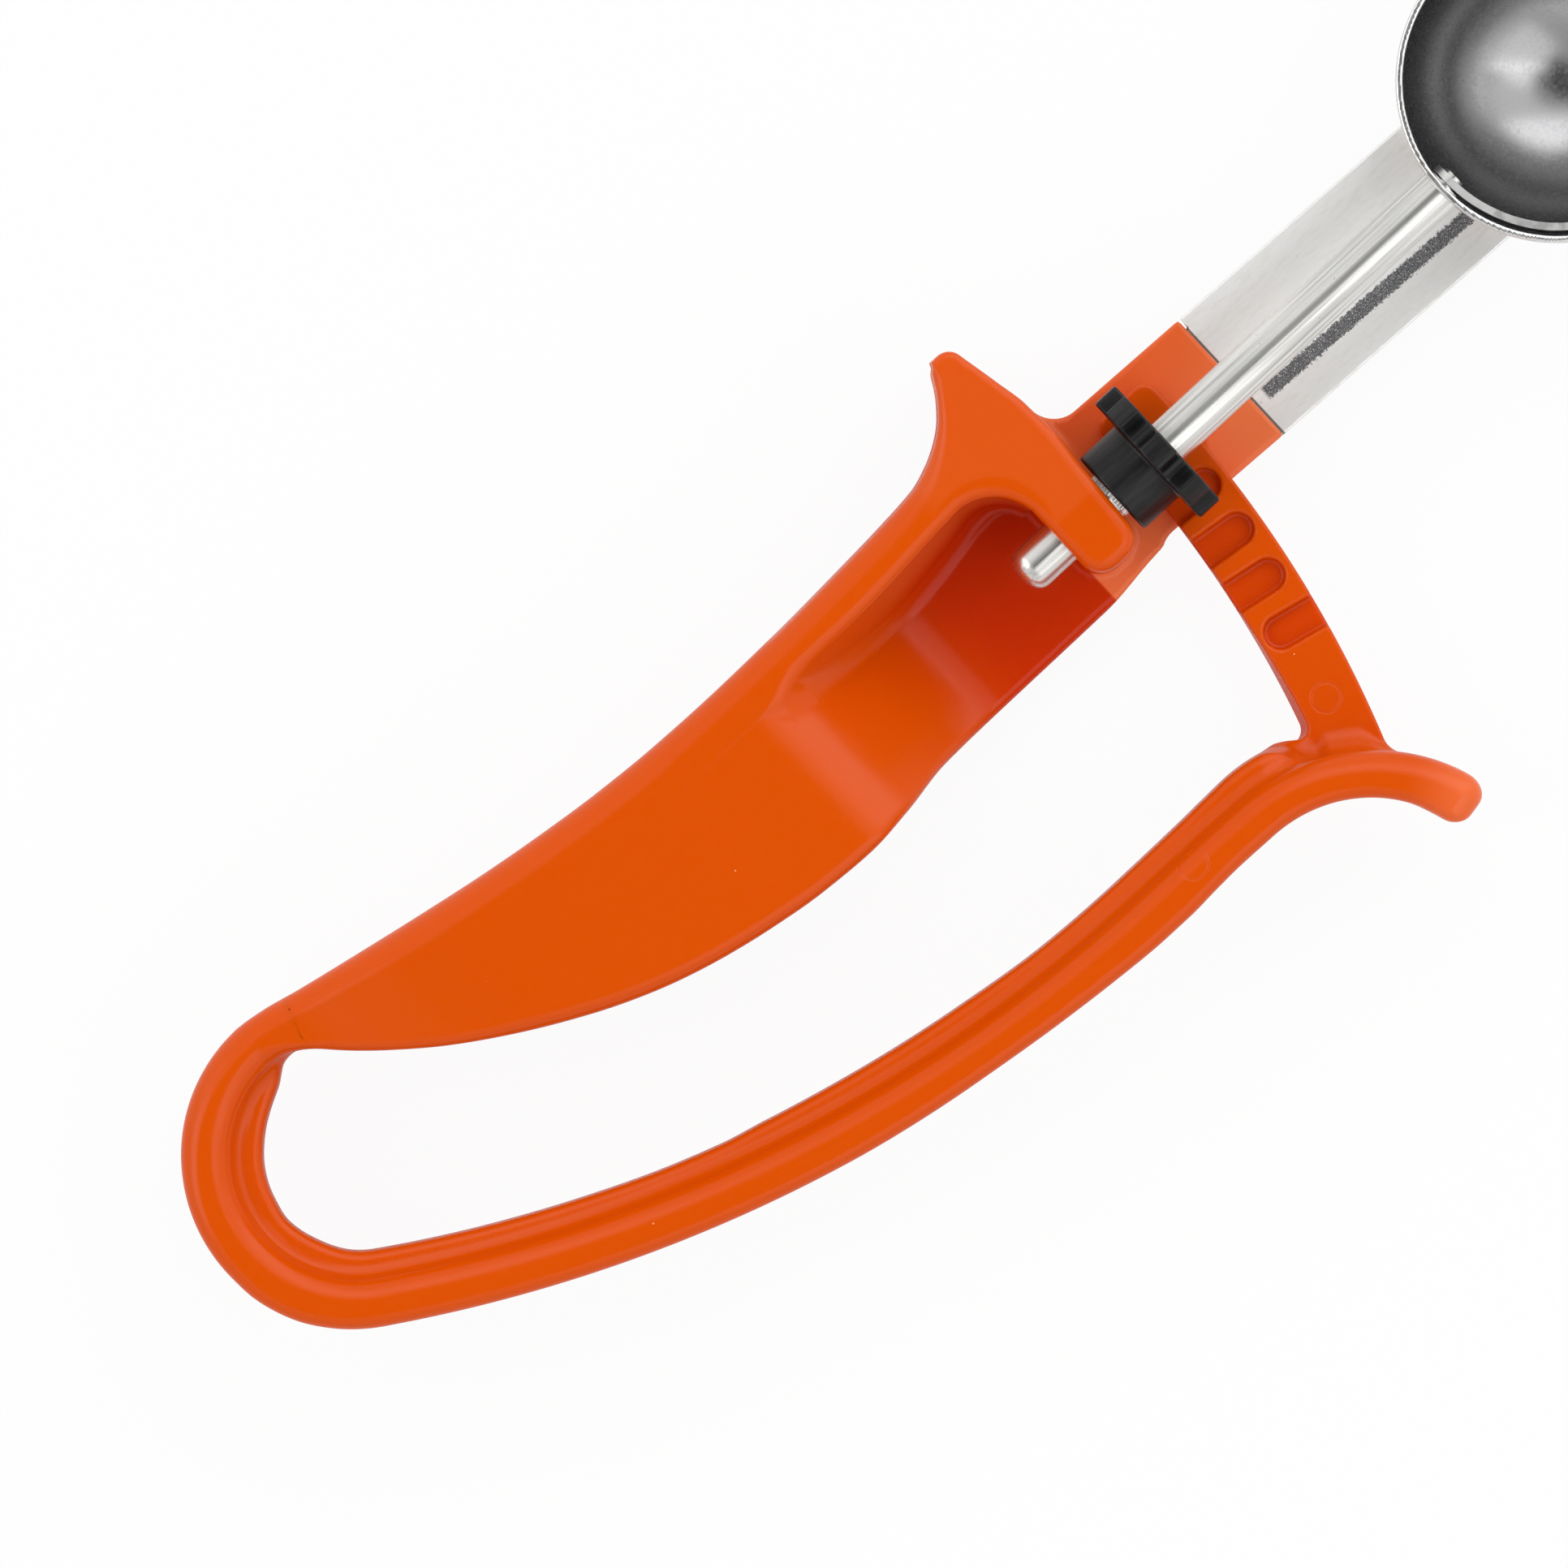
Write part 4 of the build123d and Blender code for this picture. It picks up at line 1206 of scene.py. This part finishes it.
@dataclass
class RackArm(Assembly):
    """Arm that slides under the pinion, with pockets for its teeth and a root that flows into the lever."""

    handle: Handle = field(default_factory=Handle)
    pivot: tuple = (-190.0, 4.0)
    inner: float = 125.11
    outer: float = 133.21
    top: float = -7.6
    bottom: float = -10.95
    tip_turn: float = 1.33
    tip_round: float = 1.8
    pocket_floor: float = -9.15
    pocket_start: float = -1.784
    pocket_pitch: float = 2.764
    pocket_count: int = 5
    pocket_half: float = 1.95
    pocket_wall: float = 1.05
    pocket_rounds: tuple = (0.5, 0.4)
    root_turn: float = -21.0
    root_levels: tuple = (-20.0, -25.0)
    root_fillet: tuple = (1.35, 3.2)
    root_outer: tuple = (0.0, 2.5)
    root_inner: tuple = (0.3, 2.2)
    root_share: float = 0.35
    root_inset: float = 0.07
    root_reach: float = 3.2
    root_round: float = 0.3
    root_box: tuple = (-79.0, -63.0, -48.0)
    side_lean: Track = Track(((-19.0, 0.95), (-16.5, 0.8), (-14.0, 0.5), (-11.0, 0.2), (2.0, 0.0)))
    gusset_fillet: float = 2.1
    gusset_inset: float = 0.5
    gusset_taper: float = 0.35
    gusset_start: float = 2.0
    gusset_reach: tuple = (116.0, 121.5, 129.0)
    edge: float = 0.35
    box: tuple = ((-80.0, -49.0, -12.5), (-54.5, 8.5, 3.5))
    step: float = 0.24

    def pocket(self, reach: Array, turn: Array, index: int) -> Array:
        """Plan distance of one pocket: a slot with a round end, open on the grip side but for the last one."""
        middle = self.pocket_start - index * self.pocket_pitch
        aside = np.radians(turn - middle) * reach
        if index < self.pocket_count - 1:
            past = np.maximum(reach - (self.outer - self.pocket_wall - self.pocket_half), 0.0)
        else:
            past = np.maximum(self.inner + self.pocket_wall + self.pocket_half - reach, 0.0)
        return np.hypot(aside, past) - self.pocket_half

    def plan(self, reach: Array, turn: Array, lean: Array, along: Array, across: Array, low: Array) -> Array:
        """Plan distance of the arm: a curved band, widened at its root by a gusset along the lever's web.

        Args:
            reach: distance from the arm's centre of curvature.
            turn: direction from that centre, in degrees.
            lean: how far the inner side leans in.
            along: length along the lever.
            across: distance inwards from the lever's outer edge.
            low: whether a point is near the root.

        Returns:
            Band and gusset joined by a fillet.
        """
        band = both(np.maximum(reach - self.outer, self.inner + lean - reach),
                    np.radians(turn - self.tip_turn) * reach, self.tip_round)
        band = np.maximum(band, np.radians(self.root_turn - turn) * reach)
        start, full, end = self.gusset_reach
        taper = self.gusset_inset + self.gusset_taper * np.maximum(full - reach, 0.0)
        strip = np.maximum(across - self.handle.lever.web_edge.at(along) + taper, self.gusset_start - across)
        strip = np.maximum(strip, np.maximum(start - reach, reach - end))
        return np.where(low & (reach < end), either(band, strip, self.gusset_fillet), band)

    def solid(self, x: Array, y: Array, z: Array) -> Array:
        """Distance field of the arm, its pockets and its root.

        The root is filleted to the lever, which is sunk a little so that the lever's own skin covers it. The
        fillet grows from the arm's edges to its middle. The root is cut off inside the lever, and by the
        sides of a box where the lever runs on.
        """
        dx, dy = x - self.pivot[0], y - self.pivot[1]
        reach, turn = np.hypot(dx, dy), np.degrees(np.arctan2(dy, dx))
        lean = self.side_lean.at(turn) * (z - self.bottom) / (self.top - self.bottom)
        along, across = self.handle.lever.path.at(x, y)
        joint, cut = self.root_levels
        plan = self.plan(reach, turn, lean, along, across, y < cut)
        arm = both(plan, np.maximum(z - self.top, self.bottom - z), self.edge)
        floor_round, mouth_round = self.pocket_rounds
        for index in range(self.pocket_count):
            hollow = both(self.pocket(reach, turn, index), self.pocket_floor - z, floor_round)
            arm = both(arm, -hollow, mouth_round)
        lever = self.handle.lever.solid(x, y, z) + self.root_inset
        inward = smooth_step(reach - self.inner, *self.root_inner)
        inside = smooth_step(self.outer - reach, *self.root_outer) * (
            self.root_share + (1 - self.root_share) * inward)
        least, most = self.root_fillet
        root = either(arm, lever, least + (most - least) * inside)
        root = np.where(y < cut, both(root, self.root_reach - across, self.root_round), root)
        left, right, low = self.root_box
        near = np.maximum(np.maximum(left - x, x - right), low - y)
        root = np.where((x < left) | (y < low), np.maximum(root, near), root)
        return np.where(y < joint, root, arm)

    def build(self) -> list[bpy.types.Object]:
        """Make the arm."""
        surface = surface_net(self.solid, *self.box, self.step)
        material = MouldedOrange(self.datum).build()
        arm = add_piece("moulded_rack", surface, self.datum, material, ("rack_arm",))
        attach(arm, Body.LEVER.value)
        return [arm]


@dataclass
class Pinion(Assembly):
    """Black gear with its hub."""

    face: float = -60.0
    width: float = 3.1
    teeth: int = 8
    tip: float = 8.8
    depth: float = 2.45
    tip_half: float = 1.5
    root_half: float = 1.85
    tooth_edge: float = 0.3
    root_fillet: float = 0.5
    hub: float = 5.4
    hub_end: float = -68.6
    hub_edge: float = 0.35
    bore: float = 2.72
    bore_edge: float = 0.2
    sunk: float = 1.0
    box: tuple = ((-69.23, -9.47, -9.43), (-59.4, 9.4, 9.4))
    step: float = 0.2

    def solid(self, x: Array, y: Array, z: Array) -> Array:
        """Distance field of the gear: one tooth, folded round the axis, on a disc, with a hub behind it."""
        reach = np.hypot(y, z)
        pitch = 2 * math.pi / self.teeth
        turn = (np.arctan2(y, -z) + pitch / 2) % pitch - pitch / 2
        out, aside = reach * np.cos(turn), np.abs(reach * np.sin(turn))
        root = self.tip - self.depth
        lean = (self.root_half - self.tip_half) / (self.depth + self.sunk)
        tooth = both(aside - self.root_half + lean * (out - root), reach - self.tip, self.tooth_edge)
        gear = either(tooth, reach - root, self.root_fillet)
        wheel = both(gear, np.maximum(x - self.face, self.face - self.width - x), self.tooth_edge)
        hub = both(reach - self.hub, np.maximum(x - self.face + self.sunk, self.hub_end - x), self.hub_edge)
        return both(either(wheel, hub, self.tooth_edge), self.bore - reach, self.bore_edge)

    def build(self) -> list[bpy.types.Object]:
        """Make the pinion."""
        surface = surface_net(self.solid, *self.box, self.step)
        gear = add_piece("black_pinion", surface, self.datum, BlackPlastic().build(), ("pinion",))
        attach(gear, Body.SCRAPER.value)
        return [gear]


@dataclass
class Shaft(Assembly):
    """Steel rod with a rounded tail and a knurled stretch."""

    radius: float = 2.7
    tail: float = -82.5
    tail_round: float = 1.9
    head: float = -15.7
    tenon: float = 1.3
    tenon_start: float = -17.2
    knurl: tuple = (-69.05, -61.6)
    knurl_height: float = 0.2
    knurl_ends: tuple = (0.01, 0.05)
    ribs: int = 36
    spokes: int = 288
    tail_rings: int = 9
    rings: tuple = (-75.0, -60.0, 8)
    crease: float = 35.0

    def outline(self) -> tuple[Array, Array]:
        """Give X and radius of the rings: a quarter round at the tail, a plain rod, and the tenon at the head."""
        quarter = np.radians(np.linspace(0.0, 90.0, self.tail_rings))
        bend_x = self.tail + self.tail_round * (1 - np.cos(quarter))
        bend_r = self.radius - self.tail_round * (1 - np.sin(quarter))
        low, high = self.knurl
        outer, inner = self.knurl_ends
        back, front, count = self.rings
        ends = [back, low - outer, low, low + inner, high - inner, high, high + outer]
        rod = [*ends, *np.linspace(front, self.tenon_start, count)]
        x = np.concatenate([bend_x, rod, [self.tenon_start, self.head]])
        r = np.concatenate([bend_r, np.full(len(rod), self.radius), [self.tenon, self.tenon]])
        return x, r

    def build(self) -> list[bpy.types.Object]:
        """Make the rod.

        The outline is carried round the axis: the radius is that of the outline, raised along the knurl by
        the height times the root of a rectified wave round the axis. A fan of faces closes each end.
        """
        x, r = self.outline()
        low, high = self.knurl
        raised = ((x >= low) & (x <= high)).astype(float)
        turn = np.linspace(0, 2 * math.pi, self.spokes, endpoint=False)
        wave = np.abs(np.sin(turn * self.ribs / 2)) ** 0.5
        radius = r[:, None] + raised[:, None] * self.knurl_height * wave[None, :]
        points = np.stack(np.broadcast_arrays(x[:, None], radius * np.cos(turn), radius * np.sin(turn)), -1)
        count = len(x) * self.spokes
        caps = [cap_quads(0, self.spokes, count)[:, ::-1], cap_quads(count - self.spokes, self.spokes, count + 1)]
        points = np.vstack([points.reshape(-1, 3), [[self.tail, 0.0, 0.0], [self.head, 0.0, 0.0]]])
        surface = Surface(points, np.vstack([ring_quads(len(x), self.spokes), *caps]))
        material = Finish.SHAFT.value.build(self.datum)
        rod = add_piece("steel_shaft", surface, self.datum, material, ("drive_shaft",))
        rod.data.set_sharp_from_angle(angle=math.radians(self.crease))
        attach(rod, Body.SCRAPER.value)
        return [rod]


@dataclass
class Bowl(Assembly):
    """Spun bowl: half a ball with a straight band up to the rim, pierced for shaft and rivet."""

    inner: float = 17.45
    wall: float = 0.8
    rim: float = 3.6
    shaft_hole: float = 2.76
    rivet_hole: float = 1.22
    wall_round: float = 0.02
    rim_round: float = 0.22
    hole_round: float = 0.1
    margins: tuple = (0.6, 0.7)
    shift: tuple = (0.05, 0.03, 0.07)
    step: float = 0.28

    def solid(self, x: Array, y: Array, z: Array) -> Array:
        """Distance field of the shell; above the axis the distance is taken from the upright line."""
        reach = np.sqrt(x * x + y * y + np.minimum(z, 0.0) ** 2)
        shell = both(reach - self.inner - self.wall, self.inner - reach, self.wall_round)
        shell = both(shell, z - self.rim, self.rim_round)
        hole = np.hypot(y, z) - np.where(x < 0, self.shaft_hole, self.rivet_hole)
        return both(shell, -hole, self.hole_round)

    def build(self) -> list[bpy.types.Object]:
        """Make the bowl, on a grid that is shifted a little so that no node of it lies on the surface."""
        around, above = self.margins
        side = self.inner + self.wall + around
        low = tuple(-side - value for value in self.shift)
        surface = surface_net(self.solid, low, (side, side, self.rim + above), self.step)
        material = Finish.BOWL.value.build(self.datum)
        bowl = add_piece("steel_bowl", surface, self.datum, material, ("bowl",))
        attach(bowl, Body.HANDLE.value)
        return [bowl]


@dataclass
class Tongue(Assembly):
    """Steel strip with a shallow channel, from inside the neck to a pad that hugs the bowl."""

    half: float = 8.8
    tang_half: float = 7.5
    thickness: float = 1.0
    gutter_top: float = -12.5
    gutter_run: tuple = (2.4, 9.8)
    rise: float = 0.69
    side: float = -0.93
    skew: float = -1.66
    tang_start: float = -76.5
    neck_end: float = -49.6
    front_end: float = -7.0
    bowl: float = 18.27
    pad_half: float = 6.5
    pad_fillet: float = 0.4
    edge: float = 0.3
    strip_edge: float = 0.25
    window: tuple = (-61.55, 5.7)
    box: tuple = ((-77.61, -11.05, -19.82), (-6.0, 12.5, -11.0))
    step: float = 0.22

    def solid(self, x: Array, y: Array, z: Array) -> Array:
        """Distance field of the strip and its pad, in the strip's own slightly turned frame."""
        turn = math.radians(self.skew)
        across_y = y - self.side
        u = x * math.cos(turn) + across_y * math.sin(turn)
        v = -x * math.sin(turn) + across_y * math.cos(turn)
        lift = self.rise * smooth_step(np.abs(v), *self.gutter_run)
        sheet = np.abs(z - self.gutter_top - lift + self.thickness / 2) - self.thickness / 2
        half = np.where(u < self.neck_end, self.tang_half, self.half)
        plan = np.maximum(np.abs(v) - half, np.maximum(self.tang_start - u, u - self.front_end))
        plan = np.maximum(plan, self.window[1] - np.hypot(u - self.window[0], v))
        strip = both(plan, sheet, self.strip_edge)
        reach = np.sqrt(x * x + y * y + z * z)
        pad = both(reach - self.bowl - self.thickness, np.abs(v) - self.pad_half, self.edge)
        pad = np.maximum(pad, np.maximum(u - self.front_end, z - self.gutter_top))
        return both(either(strip, pad, self.pad_fillet), self.bowl - reach, self.edge)

    def build(self) -> list[bpy.types.Object]:
        """Make the strip."""
        surface = surface_net(self.solid, *self.box, self.step)
        material = Finish.TONGUE.value.build(self.datum)
        strip = add_piece("steel_tongue", surface, self.datum, material, ("tongue",))
        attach(strip, Body.HANDLE.value)
        return [strip]


def dress_nodes(datum: Datum) -> None:
    """Give the nodes that keep their own shape their finishes."""
    finishes = {"scraper_blade": Finish.BLADE, "blade_rivet": Finish.SHAFT}
    for name, finish in finishes.items():
        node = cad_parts[name]
        node.data.materials.clear()
        node.data.materials.append(finish.value.build(datum))


# ---------------------------------------------------------------- studio
@dataclass
class Studio:
    """White floor, soft lamps, and a camera that looks straight down on the scoop.

    Each lamp has a name, a place and a side in metres, and its watts. Each window of the world is a bright
    patch with its middle and half width across and along, and the light it adds.
    """

    datum: Datum
    turn: float = -42.82
    aim: tuple = (-118.04, 1.14)
    view: float = 177.25
    distance: float = 5.0
    sensor: float = 36.0
    lamps: tuple = (
        ("left_box", (-0.6, 0.5, 0.95), 0.6, 1.5),
        ("right_box", (0.15, -0.65, 0.95), 0.9, 1.7),
        ("front_box", (0.75, 0.1, 0.8), 1.4, 2.7),
    )
    windows: tuple = (
        ((0.25, 0.55), (0.64, 0.19), 0.95),
        ((0.43, 0.35), (-0.2, 0.045), 1.3),
        ((-0.72, 0.15), (0.1, 0.4), 0.7),
    )
    window_soft: float = 0.03
    sky: tuple = (0.85, 0.62, 0.1, 0.9)
    dark_limits: tuple = (0.93, 0.97)
    dark_share: float = 0.95
    horizon: tuple = (0.0, 0.05)
    floor_half: float = 2500.0
    floor_gap: float = 0.05
    floor_tone: tuple = (0.85, 0.85, 0.85, 1.0)
    floor_roughness: float = 0.9
    floor_glow: float = 0.93

    def build(self) -> None:
        """Make the camera, the floor, the lamps and the world."""
        bpy.context.scene.view_settings.view_transform = "Standard"
        self.camera()
        self.floor()
        self.world()
        for settings in self.lamps:
            self.lamp(*settings)

    def camera(self) -> None:
        """Aim a long lens straight down, so that its frame spans the wanted width at the shaft's height."""
        lens = bpy.data.cameras.new("camera")
        lens.sensor_width = self.sensor
        lens.lens = self.sensor * self.distance / (self.view * MM)
        eye = bpy.data.objects.new("camera", lens)
        aim = self.datum.to_row(np.array([[*self.aim, 0.0]]))[0]
        eye.location = (aim[0], aim[1], aim[2] + self.distance)
        eye.rotation_euler = (0.0, 0.0, math.radians(self.turn))
        bpy.context.scene.collection.objects.link(eye)
        bpy.context.scene.camera = eye

    def floor(self) -> None:
        """Lay a white floor just under the bowl that stays white to the camera but keeps a faint shadow."""
        side = np.array([-self.floor_half, self.floor_half])
        x, y = np.meshgrid(side, side)
        points = np.stack([x.ravel(), y.ravel(), np.full(4, -self.datum.z - self.floor_gap)], 1)
        sheet = build_object("floor", Surface(points, np.array([[0, 1, 3, 2]])), self.datum)
        material, nodes, shader = new_material("floor_white")
        nodes.feed(shader, {
            "Base Color": self.floor_tone,
            "Roughness": self.floor_roughness,
            "Specular IOR Level": 0.0,
        })
        glow = nodes.add("ShaderNodeEmission", {"Color": WHITE, "Strength": 1.0})
        share = nodes.product(nodes.add("ShaderNodeLightPath").outputs["Is Camera Ray"], self.floor_glow)
        mixed = nodes.add("ShaderNodeMixShader", {0: share, 1: shader.outputs[0], 2: glow.outputs[0]})
        nodes.feed(material.node_tree.nodes["Material Output"], {"Surface": mixed.outputs[0]})
        sheet.data.materials.append(material)

    def world(self) -> None:
        """Light from all round, dark overhead where the camera stands, and white to the camera.

        The level falls from the horizon upwards, drops overhead, and rises in the windows, whose middles and
        half widths are measured on the unit direction, across and along the scene.
        """
        world = bpy.data.worlds.new("studio")
        bpy.context.scene.world = world
        world.use_nodes = True
        nodes = Nodes(world.node_tree)
        world.node_tree.nodes.clear()
        place = nodes.add("ShaderNodeTexCoord").outputs["Generated"]
        height = nodes.axes(place)["Z"]
        turn = math.radians(self.turn)
        cosine, sine = math.cos(turn), math.sin(turn)
        right, up = (nodes.vector("DOT_PRODUCT", place, way).outputs["Value"]
                     for way in ((cosine, sine, 0.0), (-sine, cosine, 0.0)))
        dark = nodes.product(nodes.ramp(height, *self.dark_limits), self.dark_share)
        level = nodes.product(nodes.span(height, *self.sky), nodes.math("SUBTRACT", 1.0, dark))
        above = nodes.ramp(height, *self.horizon)
        for across, along, extra in self.windows:
            mask = above
            for value, (middle, half) in ((right, across), (up, along)):
                off = nodes.math("ABSOLUTE", nodes.math("SUBTRACT", value, middle))
                mask = nodes.product(mask, nodes.ramp(off, half + self.window_soft, half - self.window_soft))
            level = nodes.math("ADD", level, nodes.product(mask, extra))
        camera = nodes.add("ShaderNodeLightPath").outputs["Is Camera Ray"]
        strength = nodes.math("MAXIMUM", camera, level)
        light = nodes.add("ShaderNodeBackground", {"Color": WHITE, "Strength": strength})
        nodes.add("ShaderNodeOutputWorld", {"Surface": light.outputs[0]})

    def lamp(self, name: str, place: tuple, size: float, power: float) -> None:
        """Hang a square soft lamp that faces the scoop.

        Args:
            name: lamp name.
            place: position in metres.
            size: side in metres.
            power: watts.
        """
        light = bpy.data.lights.new(name, "AREA")
        light.size = size
        light.energy = power
        thing = bpy.data.objects.new(name, light)
        thing.location = place
        x, y, z = place
        thing.rotation_euler = (math.atan2(math.hypot(x, y), z), 0.0, math.atan2(y, x) + math.pi / 2)
        bpy.context.scene.collection.objects.link(thing)


def main() -> None:
    """Build the scene and report each piece."""
    logging.basicConfig(level=logging.INFO, format="%(name)s: %(message)s")
    datum = Datum.from_frame()
    Studio(datum).build()
    speckle_group()
    scratch_group()
    assemblies = (MouldedBody(datum), RackArm(datum), Pinion(datum), Shaft(datum), Bowl(datum), Tongue(datum))
    for assembly in assemblies:
        for piece in assembly.build():
            LOG.info("%s: %d vertices", piece.name, len(piece.data.vertices))
    dress_nodes(datum)


if __name__ == "__main__":
    main()
